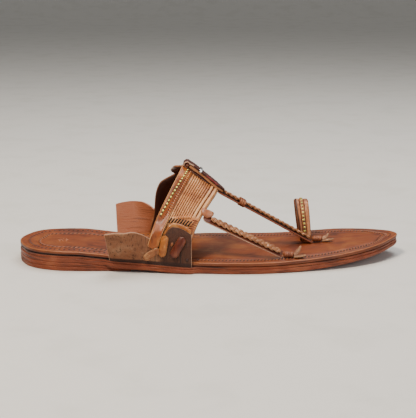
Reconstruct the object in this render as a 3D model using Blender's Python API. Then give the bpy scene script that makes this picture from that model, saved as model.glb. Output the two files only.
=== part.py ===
"""A right-foot kolhapuri sandal: layered leather sole, clamped ears, instep band, straps and toe loop.

Metres, +X to the toe, +Y to the wearer's left (the medial side), +Z up. The origin is the centre of the flat
patch that the heel stands on.
"""
import math

import bmesh
import bpy
from mathutils import Vector

# Leather of the ears, which is also the sole's middle layer
EAR_THICKNESS = 0.0020

# Sole
SOLE_LENGTH = 0.2825
SOLE_BREADTH = 0.092
ORIGIN_FROM_HEEL = 0.036
INSOLE_THICKNESS = 0.0026
OUTSOLE_THICKNESS = 0.0030
HEEL_LIFT_UPPER = 0.0026
HEEL_LIFT_LOWER = 0.0030
LIFT_EDGE = 0.0006
TOE_SPRING = 0.0090
EDGE_ROUNDING = 0.0007
MIDSOLE_INSET = 0.0008
MIDSOLE_ROUNDING = 0.0003
SOLE_STATIONS = 40
EDGE_SAMPLES = 120
LIFT_END_MARGIN = 0.004

# Clearance between pieces that meet
GAP = 0.0003

# Ears
EAR_HEIGHT = 0.0285
EAR_FLANGE = 0.0120
EAR_LEAN = math.radians(32)
EAR_SWEEP_BACK = 0.0020
EAR_BEND_RADIUS = 0.0022
EAR_REAR = 0.248
EAR_FRONT = 0.452
EAR_FLARE_END = 0.285
EAR_HUG_START = 0.375
EAR_STATIONS = 20
EAR_RISES = 6
EAR_BENDS = 3
POCKET_STATIONS = 14

# Instep band
BAND_THICKNESS = 0.0020
BAND_RIDGE = 0.0007
BAND_HEIGHT_REAR = 0.0590
BAND_HEIGHT_FRONT = 0.0435
BAND_FOOT_REAR = 0.337
BAND_FOOT_FRONT = 0.445
BAND_CROWN_REAR = 0.429
BAND_CROWN_FRONT = 0.518
BAND_SWEEP_REAR = 1.4
BAND_SWEEP_FRONT = 2.2
BAND_HALF_STATIONS = 18
BAND_LOBE = 0.0050
BAND_LOBE_DEPTH = 0.30
STRIP_FLAT = (0.3, 0.7)
STRIP_FADE_FOOT = (0.18, 0.26)
STRIP_FADE_CROWN = (0.87, 0.93)

# Straps that are joined to the band, and the crest that the centre strap is folded into
STRAP_THICKNESS = 0.0014
JOIN_DEPTH = 0.0004
REAR_STRAP_SHARE = 0.27
REAR_STRAP_END = 0.12
REAR_STRAP_OVERHANG = 0.01
REAR_STRAP_ROUND = 0.035
REAR_STRAP_COLUMNS = (-1, -0.4, 0.4, 1)
REAR_STRAP_LIFT = (0.003, 0.012)
NARROWEST_END = 0.25
END_STEPS = 4
CENTRE_STRAP_WIDTH = 0.0075
CENTRE_STRAP_FOOT = 0.769
CENTRE_STRAP_SIDE = 0.0105
CREST_WIDTH = 0.0100
CREST_LIFT = 0.0044
CREST_CURL_RADIUS = 0.0022
CREST_CURL_PLACE = 0.05
CREST_CURL_ANGLES = (110, -68)
CREST_CURL_STATIONS = 8
CROWN_STATIONS = 6
CENTRE_STRAP_STATIONS = 9
CREST_SINK = 0.0016
CREST_TIP_SHARE = 0.35
LATERAL_STRAP_WIDTH = 0.0070
LATERAL_STRAP_ROOT = (0.97, 0.565)
LATERAL_STRAP_FOOT = 0.683
LATERAL_STRAP_SIDE = -0.0310
LATERAL_STRAP_ROLL = math.radians(30)
BRAID_WIDTH = 0.0056
BRAID_THICKNESS = 0.0022
BRAID_PITCH = 0.0070
BRAID_SIDES = 8
BRAID_SWING = 0.10
BRAID_CROSSING = 0.08
BRAID_END_TAPER = 0.6
COLLAR_PLACE = 0.24
COLLAR_LENGTH = 0.0040
COLLAR_WALL = 0.0010
COLLAR_ROOM = 0.0007
COLLAR_ROUNDNESS = 0.4
SLEEVE_SIDES = 16
CENTRE_BRAID_ENDS = (0.0050, 0.0040)
LATERAL_BRAID_ENDS = (0.0085, 0.0030)

# Toe loop
TOE_LOOP_WIDTH = 0.0105
TOE_LOOP_SPAN = 0.0280
TOE_LOOP_HEIGHT = 0.0278
TOE_LOOP_THICKNESS = 0.0018
TOE_LOOP_RIB = 0.0008
TOE_LOOP_PLACE = 0.757
TOE_LOOP_SIDE = 0.0310
TOE_LOOP_LEAN = 0.0030
TOE_LOOP_STATIONS = 20

# Thongs, knots and trim
THONG_THICKNESS = 0.0016
THONG_WIDTH = 0.0060
KEEPER_RADIUS = 0.0034
KEEPER_LENGTH = 0.0062
KEEPER_FLATNESS = 0.75
KEEPER_SIDES = 10
LEAF_LENGTH = 0.0090
LEAF_WIDTH = 0.0036
LEAF_TIP_LIFT = 0.0009
LEAF_ROOM = 0.0010
LEAF_LIFT = 0.00045
LEAF_STATIONS = 7
LEAF_BELLY = 0.25
LEAF_POINT = 0.75
CLIP_WALL = 0.0008
CLIP_ROOM = 0.0006
CLIP_LENGTH = 0.0034
CLIP_PLACE = 0.45
CLIP_STEP = 0.05
CLIP_ROUNDNESS = 0.35

# Thong ends on each ear: name, then upper and lower end as length share and height, and share of the width
THONGS = (
    ("upright", (0.389, 0.0275), (0.380, 0.0110), 1.0),
    ("slanted", (0.434, 0.0260), (0.404, 0.0110), 1.1),
    ("wedge", (0.362, 0.0150), (0.334, 0.0125), 1.1),
)

# Crest's upper layer from its tip back to the curl: share of the crown's length, share of the lift
CREST = (
    (1.14, 0.44),
    (1.05, 0.50),
    (0.90, 0.60),
    (0.70, 0.72),
    (0.50, 0.84),
    (0.34, 0.95),
    (0.20, 1.02),
)
CREST_RISE = tuple(reversed(CREST))

# Outline of the sole: length share, lateral and medial edge as shares of the breadth
OUTLINE = (
    (0.000, 0.045, 0.045),
    (0.012, -0.110, 0.215),
    (0.045, -0.270, 0.355),
    (0.105, -0.365, 0.405),
    (0.170, -0.388, 0.403),
    (0.250, -0.388, 0.398),
    (0.330, -0.415, 0.425),
    (0.410, -0.443, 0.485),
    (0.500, -0.468, 0.520),
    (0.580, -0.480, 0.522),
    (0.660, -0.458, 0.527),
    (0.740, -0.408, 0.538),
    (0.800, -0.358, 0.546),
    (0.855, -0.293, 0.528),
    (0.905, -0.207, 0.470),
    (0.945, -0.108, 0.392),
    (0.975, 0.006, 0.312),
    (0.993, 0.087, 0.239),
    (1.000, 0.163, 0.163),
)

# Underside of the outsole: length share, share of the heel's rise, share of the toe spring
SOLE_RISE = (
    (0.000, 1.00, 0.00),
    (0.150, 1.00, 0.00),
    (0.210, 0.77, 0.00),
    (0.265, 0.50, 0.00),
    (0.332, 0.37, 0.00),
    (0.400, 0.14, 0.00),
    (0.470, 0.00, 0.00),
    (0.640, 0.00, 0.00),
    (0.720, 0.00, 0.07),
    (0.800, 0.00, 0.23),
    (0.900, 0.00, 0.56),
    (1.000, 0.00, 1.00),
)
LOWER_LIFT_END = 0.300
LIFT_SKIVE_START = 0.235
UPPER_LIFT_END = 0.335
OUTSOLE_SKIVE = ((0.00, 1.00), (0.80, 1.00), (1.00, 0.62))

# Section of the band's hoop, from foot to crown and a little past it: share of the way, height, half width
HOOP = (
    (0.00, 0.00, 1.000),
    (0.13, 0.16, 0.995),
    (0.28, 0.34, 0.945),
    (0.44, 0.53, 0.830),
    (0.60, 0.715, 0.665),
    (0.74, 0.860, 0.475),
    (0.87, 0.960, 0.255),
    (1.00, 1.000, 0.000),
    (1.13, 0.960, -0.255),
)

# Ear's free edge: share of the way from rear to front, share of the full height
EAR_TOP = (
    (0.00, 0.84),
    (0.16, 0.92),
    (0.28, 0.90),
    (0.40, 0.74),
    (0.52, 0.58),
    (0.62, 0.72),
    (0.70, 0.90),
    (0.80, 0.96),
    (0.90, 0.90),
    (1.00, 0.74),
)

# Lobes of the band's rear edge: shares of the way over where each starts, is full, starts to fade and ends, and
# its reach as a share of the lobe
LOBES = (
    (0.505, 0.540, 0.600, 0.635, 1.00),
    (0.640, 0.680, 0.720, 0.860, 0.75),
)

# Section of the toe loop: share of its width, share of the rib's height
TOE_LOOP_SECTION = (
    (-0.50, 0.0),
    (-0.16, 0.0),
    (-0.12, 1.0),
    (0.12, 1.0),
    (0.16, 0.0),
    (0.50, 0.0),
)

# Keeper: share of its length, share of its radius
KEEPER_PROFILE = (
    (0.00, 0.62),
    (0.12, 0.92),
    (0.50, 1.00),
    (0.88, 0.92),
    (1.00, 0.62),
)

# Thong tips in front of each keeper: name, place to the side as a share of the leaf's width, heading in degrees
LEAVES = (
    ("tip_forward", -0.35, -8),
    ("tip_inward", 0.75, 48),
)

# Raised strips across the band: start and end as shares of its width, height as a share of the ridge
STRIPS = (
    (0.285, 0.375, 0.6),
    (0.375, 0.460, 1.0),
    (0.460, 0.545, 1.0),
    (0.545, 0.630, 1.0),
    (0.630, 0.715, 1.0),
    (0.715, 0.800, 1.0),
    (0.800, 0.900, 1.3),
    (0.900, 1.000, 1.3),
)


def follow(rows, share, column=1):
    """Value of one column at a share of the way, by a cubic that never overshoots its rows."""
    last = len(rows) - 1
    if share <= rows[0][0]:
        return rows[0][column]
    if share >= rows[last][0]:
        return rows[last][column]
    slopes = [(rows[i + 1][column] - rows[i][column]) / (rows[i + 1][0] - rows[i][0]) for i in range(last)]
    i = next(k for k in range(last) if share <= rows[k + 1][0])

    def tangent(k):
        if k == 0 or k == last:
            return slopes[min(k, last - 1)]
        before, after = slopes[k - 1], slopes[k]
        return 0.0 if before * after <= 0 else 2 * before * after / (before + after)

    step = rows[i + 1][0] - rows[i][0]
    t = (share - rows[i][0]) / step
    a, b = rows[i][column], rows[i + 1][column]
    return (a * (2 * t ** 3 - 3 * t ** 2 + 1) + step * tangent(i) * (t ** 3 - 2 * t ** 2 + t)
            + b * (3 * t ** 2 - 2 * t ** 3) + step * tangent(i + 1) * (t ** 3 - t ** 2))


def ease(value, start, end):
    """Smooth step from 0 at start to 1 at end."""
    t = min(1.0, max(0.0, (value - start) / (end - start)))
    return t * t * (3 - 2 * t)


def mix(a, b, t):
    return a + (b - a) * t


def place(share):
    """X of a share of the sole's length."""
    return share * SOLE_LENGTH - ORIGIN_FROM_HEEL


def share_at(x):
    return (x + ORIGIN_FROM_HEEL) / SOLE_LENGTH


# Heights of the sole's layers

def outsole_bottom(x):
    share = share_at(x)
    heel = HEEL_LIFT_UPPER + HEEL_LIFT_LOWER + 2 * GAP
    return follow(SOLE_RISE, share, 1) * heel + follow(SOLE_RISE, share, 2) * TOE_SPRING


def outsole_top(x):
    return outsole_bottom(x) + OUTSOLE_THICKNESS * follow(OUTSOLE_SKIVE, share_at(x))


def midsole_bottom(x):
    return outsole_top(x) + GAP


def midsole_top(x):
    return midsole_bottom(x) + EAR_THICKNESS


def insole_bottom(x):
    return midsole_top(x) + GAP


def insole_top(x):
    return insole_bottom(x) + INSOLE_THICKNESS


def lift_room(x):
    """Height left for the two heel lifts under the outsole."""
    return outsole_bottom(x) - 2 * GAP


def upper_lift_bottom(x):
    return outsole_bottom(x) - GAP - lift_room(x) * HEEL_LIFT_UPPER / (HEEL_LIFT_UPPER + HEEL_LIFT_LOWER)


def lower_lift_bottom(x):
    """Flat on the floor, then skived up to a thin front edge."""
    skive = ease(share_at(x), LIFT_SKIVE_START, LOWER_LIFT_END)
    return skive * (upper_lift_bottom(x) - GAP - LIFT_EDGE)


# Outline of the sole

def outline_side(column, count):
    """Points along one edge from the heel's back to the tip of the toe, by a spline through the table."""
    other = 3 - column
    rows = [(r[0] * SOLE_LENGTH - ORIGIN_FROM_HEEL, r[column] * SOLE_BREADTH) for r in OUTLINE]
    before = (rows[1][0], OUTLINE[1][other] * SOLE_BREADTH)
    after = (rows[-2][0], OUTLINE[-2][other] * SOLE_BREADTH)
    points = [Vector(p) for p in [before, *rows, after]]
    knots = [0.0]
    for a, b in zip(points, points[1:]):
        knots.append(knots[-1] + math.sqrt((b - a).length))
    start, end = knots[1], knots[-2]
    result = []
    for n in range(count + 1):
        t = mix(start, end, n / count)
        i = min(len(points) - 3, max(1, next(k for k in range(1, len(knots)) if t <= knots[k]) - 1))
        p = points[i - 1:i + 3]
        k = knots[i - 1:i + 3]
        a1 = p[0].lerp(p[1], (t - k[0]) / (k[1] - k[0]))
        a2 = p[1].lerp(p[2], (t - k[1]) / (k[2] - k[1]))
        a3 = p[2].lerp(p[3], (t - k[2]) / (k[3] - k[2]))
        b1 = a1.lerp(a2, (t - k[0]) / (k[2] - k[0]))
        b2 = a2.lerp(a3, (t - k[1]) / (k[3] - k[1]))
        result.append(b1.lerp(b2, (t - k[1]) / (k[2] - k[1])))
    return result


def edge_y(x, side):
    """Y of the sole's edge at X: side is -1 for the lateral edge and +1 for the medial one."""
    line = EDGES[side]
    for a, b in zip(line, line[1:]):
        if x <= b.x:
            return mix(a.y, b.y, max(0.0, (x - a.x) / max(b.x - a.x, 1e-9)))
    return line[-1].y


EDGES = {-1: outline_side(1, EDGE_SAMPLES), 1: outline_side(2, EDGE_SAMPLES)}


def material(name, colour, roughness, metallic=0.0):
    """Principled material of one piece."""
    mat = bpy.data.materials.new(name)
    mat.use_nodes = True
    shader = mat.node_tree.nodes["Principled BSDF"]
    shader.inputs["Base Color"].default_value = (*colour, 1.0)
    shader.inputs["Roughness"].default_value = roughness
    shader.inputs["Metallic"].default_value = metallic
    mat.diffuse_color = (*colour, 1.0)
    return mat


def finish_object(name, mesh_data, mat, guide=False):
    """Puts a bmesh into the scene as one closed, outward-facing piece."""
    bmesh.ops.recalc_face_normals(mesh_data, faces=mesh_data.faces)
    if mesh_data.calc_volume(signed=True) < 0:
        bmesh.ops.reverse_faces(mesh_data, faces=mesh_data.faces)
    mesh = bpy.data.meshes.new(name)
    mesh_data.to_mesh(mesh)
    mesh_data.free()
    mesh.shade_smooth()
    mesh.set_sharp_from_angle(angle=math.radians(40))
    obj = bpy.data.objects.new(name, mesh)
    obj.data.materials.append(mat)
    bpy.context.scene.collection.objects.link(obj)
    if guide:
        obj.hide_render = True
        obj.display_type = "WIRE"
    return obj


def union(obj, guide):
    """Joins a guide's shape to an object."""
    modifier = obj.modifiers.new("join " + guide.name, "BOOLEAN")
    modifier.operation = "UNION"
    modifier.solver = "EXACT"
    modifier.object = guide


def cut(obj, guide):
    """Takes a guide's shape out of an object."""
    modifier = obj.modifiers.new("cut " + guide.name, "BOOLEAN")
    modifier.operation = "DIFFERENCE"
    modifier.solver = "EXACT"
    modifier.object = guide


def skin(name, outer, inner, mat, guide=False):
    """Closed solid between two grids of points."""
    bm = bmesh.new()
    rows, columns = len(outer), len(outer[0])
    tops = [[bm.verts.new(p) for p in row] for row in outer]
    lows = [[bm.verts.new(p) for p in row] for row in inner]
    for i in range(rows - 1):
        for j in range(columns - 1):
            bm.faces.new((tops[i][j], tops[i + 1][j], tops[i + 1][j + 1], tops[i][j + 1]))
            bm.faces.new((lows[i][j], lows[i][j + 1], lows[i + 1][j + 1], lows[i + 1][j]))
    border = [(0, j) for j in range(columns)] + [(i, columns - 1) for i in range(1, rows)]
    border += [(rows - 1, j) for j in range(columns - 2, -1, -1)] + [(i, 0) for i in range(rows - 2, 0, -1)]
    for (a, b), (c, d) in zip(border, border[1:] + border[:1]):
        bm.faces.new((tops[a][b], tops[c][d], lows[c][d], lows[a][b]))
    return finish_object(name, bm, mat, guide)


def normals(grid):
    """Unit normal at each point of a grid."""
    rows, columns = len(grid), len(grid[0])
    result = []
    for i in range(rows):
        line = []
        for j in range(columns):
            along = grid[min(i + 1, rows - 1)][j] - grid[max(i - 1, 0)][j]
            across = grid[i][min(j + 1, columns - 1)] - grid[i][max(j - 1, 0)]
            line.append(along.cross(across).normalized())
        result.append(line)
    return result


def sheet(name, grid, above, below, mat, guide=False):
    """Solid made by thickening a grid; above and below take a point's row and column."""
    facing = normals(grid)
    outer = []
    inner = []
    for i, row in enumerate(grid):
        outer.append([p + facing[i][j] * above(i, j) for j, p in enumerate(row)])
        inner.append([p - facing[i][j] * below(i, j) for j, p in enumerate(row)])
    return skin(name, outer, inner, mat, guide)


def tube(name, rings, mat, guide=False):
    """Closed solid through a list of rings with flat ends."""
    bm = bmesh.new()
    loops = [[bm.verts.new(p) for p in ring] for ring in rings]
    for a, b in zip(loops, loops[1:]):
        for k in range(len(a)):
            n = (k + 1) % len(a)
            bm.faces.new((a[k], a[n], b[n], b[k]))
    bm.faces.new(loops[0])
    bm.faces.new(loops[-1])
    return finish_object(name, bm, mat, guide)


# Sole layers

def inset_edge(side, inset, last):
    """The sole's edge moved inwards, from the heel's back to a share of the length."""
    line = outline_side(1 if side < 0 else 2, SOLE_STATIONS)
    moved = []
    for i, p in enumerate(line):
        before = line[i - 1] if i else Vector((line[1].x, -line[1].y))
        after = line[i + 1] if i + 1 < len(line) else Vector((line[-2].x, 2 * line[-1].y - line[-2].y))
        along = (after - before).normalized()
        inward = Vector((-along.y, along.x)) * -side
        if i == 0:
            inward = Vector((1, 0))
        if i == len(line) - 1:
            inward = Vector((-1, 0))
        moved.append(p + inward * inset)
    end = place(last)
    if last < 1.0:
        kept = [p for p in moved if p.x < end - SOLE_LENGTH * LIFT_END_MARGIN]
        kept.append(Vector((end, edge_y(end, side) - side * inset)))
        return kept
    return moved


def sole_layer(name, bottom, top, mat, inset=0.0, rounding=EDGE_ROUNDING, last=1.0):
    """One layer of the sole between two heights that vary along the length, with its edges rounded."""
    levels = ((inset + rounding, 0.0), (inset, rounding), (inset, -rounding), (inset + rounding, 0.0))
    sides = {side: [inset_edge(side, level[0], last) for level in levels] for side in (-1, 1)}
    count = min(len(sides[-1][0]), len(sides[1][0]))
    for side in (-1, 1):
        sides[side] = [line[:count - 1] + line[-1:] for line in sides[side]]
    bm = bmesh.new()

    def height(level, x):
        if level < 2:
            return bottom(x) + levels[level][1]
        return top(x) + levels[level][1]

    grids = {}
    for side in (-1, 1):
        grids[side] = [[bm.verts.new((p.x, p.y, height(n, p.x))) for p in line]
                       for n, line in enumerate(sides[side])]
    for n in range(4):
        shared = grids[-1][n][0]
        bm.verts.remove(grids[1][n][0])
        grids[1][n][0] = shared
        if last >= 1.0:
            bm.verts.remove(grids[1][n][-1])
            grids[1][n][-1] = grids[-1][n][-1]
    for side in (-1, 1):
        for n in range(3):
            low, high = grids[side][n], grids[side][n + 1]
            for i in range(count - 1):
                bm.faces.new((low[i], low[i + 1], high[i + 1], high[i]))
    for n in (0, 3):
        for i in range(count - 1):
            corners = [grids[-1][n][i], grids[-1][n][i + 1], grids[1][n][i + 1], grids[1][n][i]]
            corners = list(dict.fromkeys(corners))
            bm.faces.new(corners)
    if last < 1.0:
        for n in range(3):
            bm.faces.new((grids[-1][n][-1], grids[1][n][-1], grids[1][n + 1][-1], grids[-1][n + 1][-1]))
    return finish_object(name, bm, mat)


# Instep band

def band_foot_y(w, side):
    """Y of the band's middle surface at its foot, just inside the sole's edge."""
    x = place(mix(BAND_FOOT_REAR, BAND_FOOT_FRONT, w))
    return edge_y(x, side) - side * (BAND_THICKNESS / 2 + BAND_RIDGE)


def band_foot_z(w):
    return insole_top(place(mix(BAND_FOOT_REAR, BAND_FOOT_FRONT, w))) + GAP


def band_x(w, rise):
    """X of the band at a share of its height."""
    foot_x = place(mix(BAND_FOOT_REAR, BAND_FOOT_FRONT, w))
    crown_x = place(mix(BAND_CROWN_REAR, BAND_CROWN_FRONT, w))
    return mix(foot_x, crown_x, max(rise, 0.0) ** mix(BAND_SWEEP_REAR, BAND_SWEEP_FRONT, w))


def band_point(w, way, side):
    """Point of the band's middle surface: w from rear to front, way from foot to crown."""
    rise = follow(HOOP, way, 1)
    height = mix(BAND_HEIGHT_REAR, BAND_HEIGHT_FRONT, w)
    y = follow(HOOP, way, 2) * band_foot_y(w, side)
    return Vector((band_x(w, rise), y, band_foot_z(w) + height * rise))


def band_normal(w, way, side):
    """Outward normal of the band's middle surface."""
    step = 0.01
    along = band_point(w, way + step, side) - band_point(w, way - step, side)
    across = band_point(w + step, way, side) - band_point(w - step, way, side)
    return along.cross(across).normalized() * side


def way_at(rise):
    """Share of the way from foot to crown where the hoop has a share of its height."""
    low, high = 0.0, 1.0
    for _ in range(24):
        middle = (low + high) / 2
        if follow(HOOP, middle, 1) < rise:
            low = middle
        else:
            high = middle
    return low


def band_y_at(x, z, side):
    """Y of the band's middle surface at a place seen from the side, carried on past its rear edge."""
    w = 0.5
    for _ in range(12):
        rise = min(1.0, max(0.0, (z - band_foot_z(w)) / mix(BAND_HEIGHT_REAR, BAND_HEIGHT_FRONT, w)))
        wide = band_x(1.0, rise) - band_x(0.0, rise)
        w = min(1.1, max(-0.6, w + (x - band_x(w, rise)) / wide))
    return follow(HOOP, way_at(rise), 2) * band_foot_y(w, side)


def hoop_stations():
    """Shares of the way from the lateral foot to the crown and down to the medial foot, with their side."""
    half = [k / BAND_HALF_STATIONS for k in range(BAND_HALF_STATIONS)]
    return [(t, -1) for t in half] + [(1.0, 1)] + [(t, 1) for t in reversed(half)]


def strip_profile():
    """Places across the band and the height of its outer face there."""
    profile = [(0.0, 0.0)]
    for start, end, height in STRIPS:
        profile += [(start, 0.0)] + [(mix(start, end, t), height) for t in STRIP_FLAT]
    return profile + [(1.0, 0.0)]


def rear_lobe(share):
    """Reach of the band's rear edge behind its line at a share of the way over, as a share of the lobe."""
    total = 0.0
    for start, full, fade, end, reach in LOBES:
        total += reach * ease(share, start, full) * (1 - ease(share, fade, end))
    return total


def make_band(mat):
    """The band's hollow arch with its raised strips and the two lobes of its rear edge."""
    stations = hoop_stations()
    profile = strip_profile()
    grid = []
    for i, (way, side) in enumerate(stations):
        row = []
        for w, _ in profile:
            p = band_point(w, way, side)
            p.x -= rear_lobe(i / (len(stations) - 1)) * BAND_LOBE * (1 - ease(w, 0.0, BAND_LOBE_DEPTH))
            row.append(p)
        grid.append(row)

    def outside(i, j):
        raised = ease(stations[i][0], *STRIP_FADE_FOOT) * (1 - ease(stations[i][0], *STRIP_FADE_CROWN))
        return BAND_THICKNESS / 2 + BAND_RIDGE * profile[j][1] * raised

    return sheet("upper", grid, lambda i, j: BAND_THICKNESS / 2, outside, mat)


# Ears

def ear_height(share):
    return EAR_HEIGHT * follow(EAR_TOP, share)


def ear_root_z(x):
    """Height where the ear's wall begins, above the bend that leaves the groove."""
    return (midsole_bottom(x) + midsole_top(x)) / 2 + EAR_BEND_RADIUS


def ear_point(x, rise, side):
    """Point of the ear's middle surface: it leans out behind and lies on the band in front."""
    hug = ease(share_at(x), EAR_FLARE_END, EAR_HUG_START)
    out = edge_y(x, side) + side * (GAP + EAR_THICKNESS / 2 + math.sin(EAR_LEAN) * rise)
    z = ear_root_z(x) + rise * math.cos(EAR_LEAN * (1 - hug))
    step = EAR_THICKNESS / 2
    slope = (band_y_at(x, z + step, side) - band_y_at(x, z - step, side)) / (2 * step)
    cover = (BAND_THICKNESS / 2 + BAND_RIDGE * STRIPS[-1][2] + GAP + EAR_THICKNESS / 2) * math.hypot(1, slope)
    return Vector((x, mix(out, band_y_at(x, z, side) + side * cover, hug), z))


def ear_rise(x, z):
    """Developed height of the ear at a height above the floor."""
    hug = ease(share_at(x), EAR_FLARE_END, EAR_HUG_START)
    return (z - ear_root_z(x)) / math.cos(EAR_LEAN * (1 - hug))


def on_ear(x, z, side, lift):
    """Point outside the ear's middle surface by a distance."""
    step = 0.001
    rise = ear_rise(x, z)
    along = ear_point(x + step, rise, side) - ear_point(x - step, rise, side)
    upwards = ear_point(x, rise + step, side) - ear_point(x, rise - step, side)
    return ear_point(x, rise, side) + along.cross(upwards).normalized() * -side * lift


def make_ear(name, side, mat):
    """Leaf-shaped ear with its flange between insole and outsole."""
    grid = []
    for i in range(EAR_STATIONS + 1):
        share = i / EAR_STATIONS
        x = place(mix(EAR_REAR, EAR_FRONT, share))
        centre_z = (midsole_bottom(x) + midsole_top(x)) / 2
        wall_y = ear_point(x, 0.0, side).y
        row = [Vector((x, edge_y(x, side) - side * EAR_FLANGE, centre_z))]
        for k in range(EAR_BENDS):
            angle = math.pi / 2 * k / EAR_BENDS
            row.append(Vector((x, wall_y - side * EAR_BEND_RADIUS * (1 - math.sin(angle)),
                               centre_z + EAR_BEND_RADIUS * (1 - math.cos(angle)))))
        for k in range(EAR_RISES + 1):
            p = ear_point(x, ear_height(share) * k / EAR_RISES, side)
            p.x -= EAR_SWEEP_BACK * (1 - share) ** 2 * k / EAR_RISES
            row.append(p)
        grid.append(row)
    half = EAR_THICKNESS / 2
    return sheet(name, grid, lambda i, j: half, lambda i, j: half, mat)


def flange_pocket(side, mat):
    """Cutter for the room in the middle layer that one ear's flange fills."""
    rows = []
    for i in range(POCKET_STATIONS + 1):
        x = mix(place(EAR_REAR) - GAP, place(EAR_FRONT) + GAP, i / POCKET_STATIONS)
        edge = edge_y(x, side)
        rows.append((x, edge - side * (EAR_FLANGE + GAP), edge + side * EAR_THICKNESS))
    outer = [[Vector((x, y, midsole_top(x) + EAR_THICKNESS)) for y in ends] for x, *ends in rows]
    inner = [[Vector((x, y, midsole_bottom(x) - EAR_THICKNESS)) for y in ends] for x, *ends in rows]
    return skin("flange pocket", outer, inner, mat, guide=True)


# Straps and braids

def round_ends(share, length, width, start=True, end=True):
    """Width of a strip at a share of its length, with half-round ends."""
    reach = width / 2 / length
    factor = 1.0
    if start and share < reach:
        factor = math.sqrt(max(0.0, 1 - (1 - share / reach) ** 2))
    if end and share > 1 - reach:
        factor = math.sqrt(max(0.0, 1 - (1 - (1 - share) / reach) ** 2))
    return width * max(factor, NARROWEST_END)


def path_length(path):
    return sum((b - a).length for a, b in zip(path, path[1:]))


def ribbon(name, path, width_at, thickness, across, mat, guide=False):
    """Flat strip along a path, lying along the direction across; width_at takes a share of the length."""
    total = path_length(path)
    done = 0.0
    outer = []
    inner = []
    for i, p in enumerate(path):
        if i:
            done += (p - path[i - 1]).length
        along = (path[min(i + 1, len(path) - 1)] - path[max(i - 1, 0)]).normalized()
        side = (across - along * across.dot(along)).normalized()
        face = along.cross(side)
        half = width_at(done / total) / 2
        outer.append([p + side * half * k + face * thickness / 2 for k in (-1, 1)])
        inner.append([p + side * half * k - face * thickness / 2 for k in (-1, 1)])
    return skin(name, outer, inner, mat, guide)


def end_stations(count, reach):
    """Shares of a strip's length, close together at its two round ends."""
    ends = [reach * (1 - math.cos(math.pi / 2 * k / END_STEPS)) for k in range(END_STEPS)]
    middle = [mix(reach, 1 - reach, k / count) for k in range(count + 1)]
    return ends + middle + [1 - s for s in reversed(ends)]


def crown_frame():
    """Rear and front ends of the crown line, its direction and its outward normal."""
    rear = band_point(0.0, 1.0, 1)
    front = band_point(1.0, 1.0, 1)
    along = (front - rear).normalized()
    return rear, front, along, Vector((-along.z, 0, along.x)).normalized()


def crown_place(share, height):
    """Point above the crown line, at a share of its length and a height from the band's middle surface."""
    rear, front, _, up = crown_frame()
    return rear + (front - rear) * share + up * height


def crest_seat():
    """Height of the centre strap's middle over the band's middle surface, where it lies on the crown."""
    return BAND_THICKNESS / 2 + STRAP_THICKNESS / 2 - JOIN_DEPTH


def centre_foot():
    x = place(CENTRE_STRAP_FOOT)
    return Vector((x, CENTRE_STRAP_SIDE, insole_top(x) + GAP + STRAP_THICKNESS / 2))


def centre_path():
    """Middle line of the centre strap: the crest (flap, curl, layer on the crown), then the run to the toes."""
    low = crest_seat()
    crest = [crown_place(share, low + rise * CREST_LIFT) for share, rise in CREST]
    rear, front, along, up = crown_frame()
    centre = crown_place(CREST_CURL_PLACE, low + CREST_CURL_RADIUS)
    for k in range(CREST_CURL_STATIONS):
        angle = math.radians(mix(*CREST_CURL_ANGLES, k / (CREST_CURL_STATIONS - 1)))
        crest.append(centre + (up * math.sin(angle) - along * math.cos(angle)) * CREST_CURL_RADIUS)
    for k in range(CROWN_STATIONS):
        t = k / (CROWN_STATIONS - 1)
        crest.append(crown_place(mix(CREST_CURL_PLACE, 1.0, t), low - CREST_SINK * ease(t, 0.4, 1.0)))
    leave = crown_place(1.0 + STRAP_THICKNESS / (front - rear).length, low - CREST_SINK)
    foot = centre_foot()
    return crest, [leave.lerp(foot, k / (CENTRE_STRAP_STATIONS - 1)) for k in range(CENTRE_STRAP_STATIONS)]


def braid(name, start, end, across, mat):
    """Plait of three strands as one closed rope with its crossings raised."""
    length = (end - start).length
    count = max(8, round(length / BRAID_PITCH * 4))
    along = (end - start).normalized()
    side = (across - along * across.dot(along)).normalized()
    up = along.cross(side)
    if up.z < 0:
        up = -up
    rings = []
    for k in range(count + 1):
        share = k / count
        swing = math.sin(math.pi / 2 * k + math.pi / 4)
        taper = BRAID_END_TAPER if k in (0, count) else 1.0
        height = BRAID_THICKNESS / 2 * (1 - BRAID_CROSSING * (1 - abs(swing)))
        ring = []
        for n in range(BRAID_SIDES):
            angle = 2 * math.pi * n / BRAID_SIDES
            width = BRAID_WIDTH / 2 * (1 + BRAID_SWING * swing * math.cos(angle))
            ring.append(start.lerp(end, share) + side * math.cos(angle) * width * taper
                        + up * math.sin(angle) * height * taper)
        rings.append(ring)
    return tube(name, rings, mat)


def sleeve(name, centre, along, side, half_width, half_height, wall, length, mat, roundness):
    """Closed band round something, with an opening right through: an oval at roundness 1, box-like near 0."""
    up = along.cross(side).normalized()
    bm = bmesh.new()
    loops = []
    for offset, grow in ((-1, 0.0), (1, 0.0), (1, wall), (-1, wall)):
        loop = []
        for n in range(SLEEVE_SIDES):
            angle = 2 * math.pi * (n + 0.5) / SLEEVE_SIDES
            c, s = math.cos(angle), math.sin(angle)
            a = math.copysign(abs(c) ** roundness, c) * (half_width + grow)
            b = math.copysign(abs(s) ** roundness, s) * (half_height + grow)
            loop.append(bm.verts.new(centre + along * offset * length / 2 + side * a + up * b))
        loops.append(loop)
    for a, b in zip(loops, loops[1:] + loops[:1]):
        for k in range(SLEEVE_SIDES):
            n = (k + 1) % SLEEVE_SIDES
            bm.faces.new((a[k], a[n], b[n], b[k]))
    return finish_object(name, bm, mat)


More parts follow.
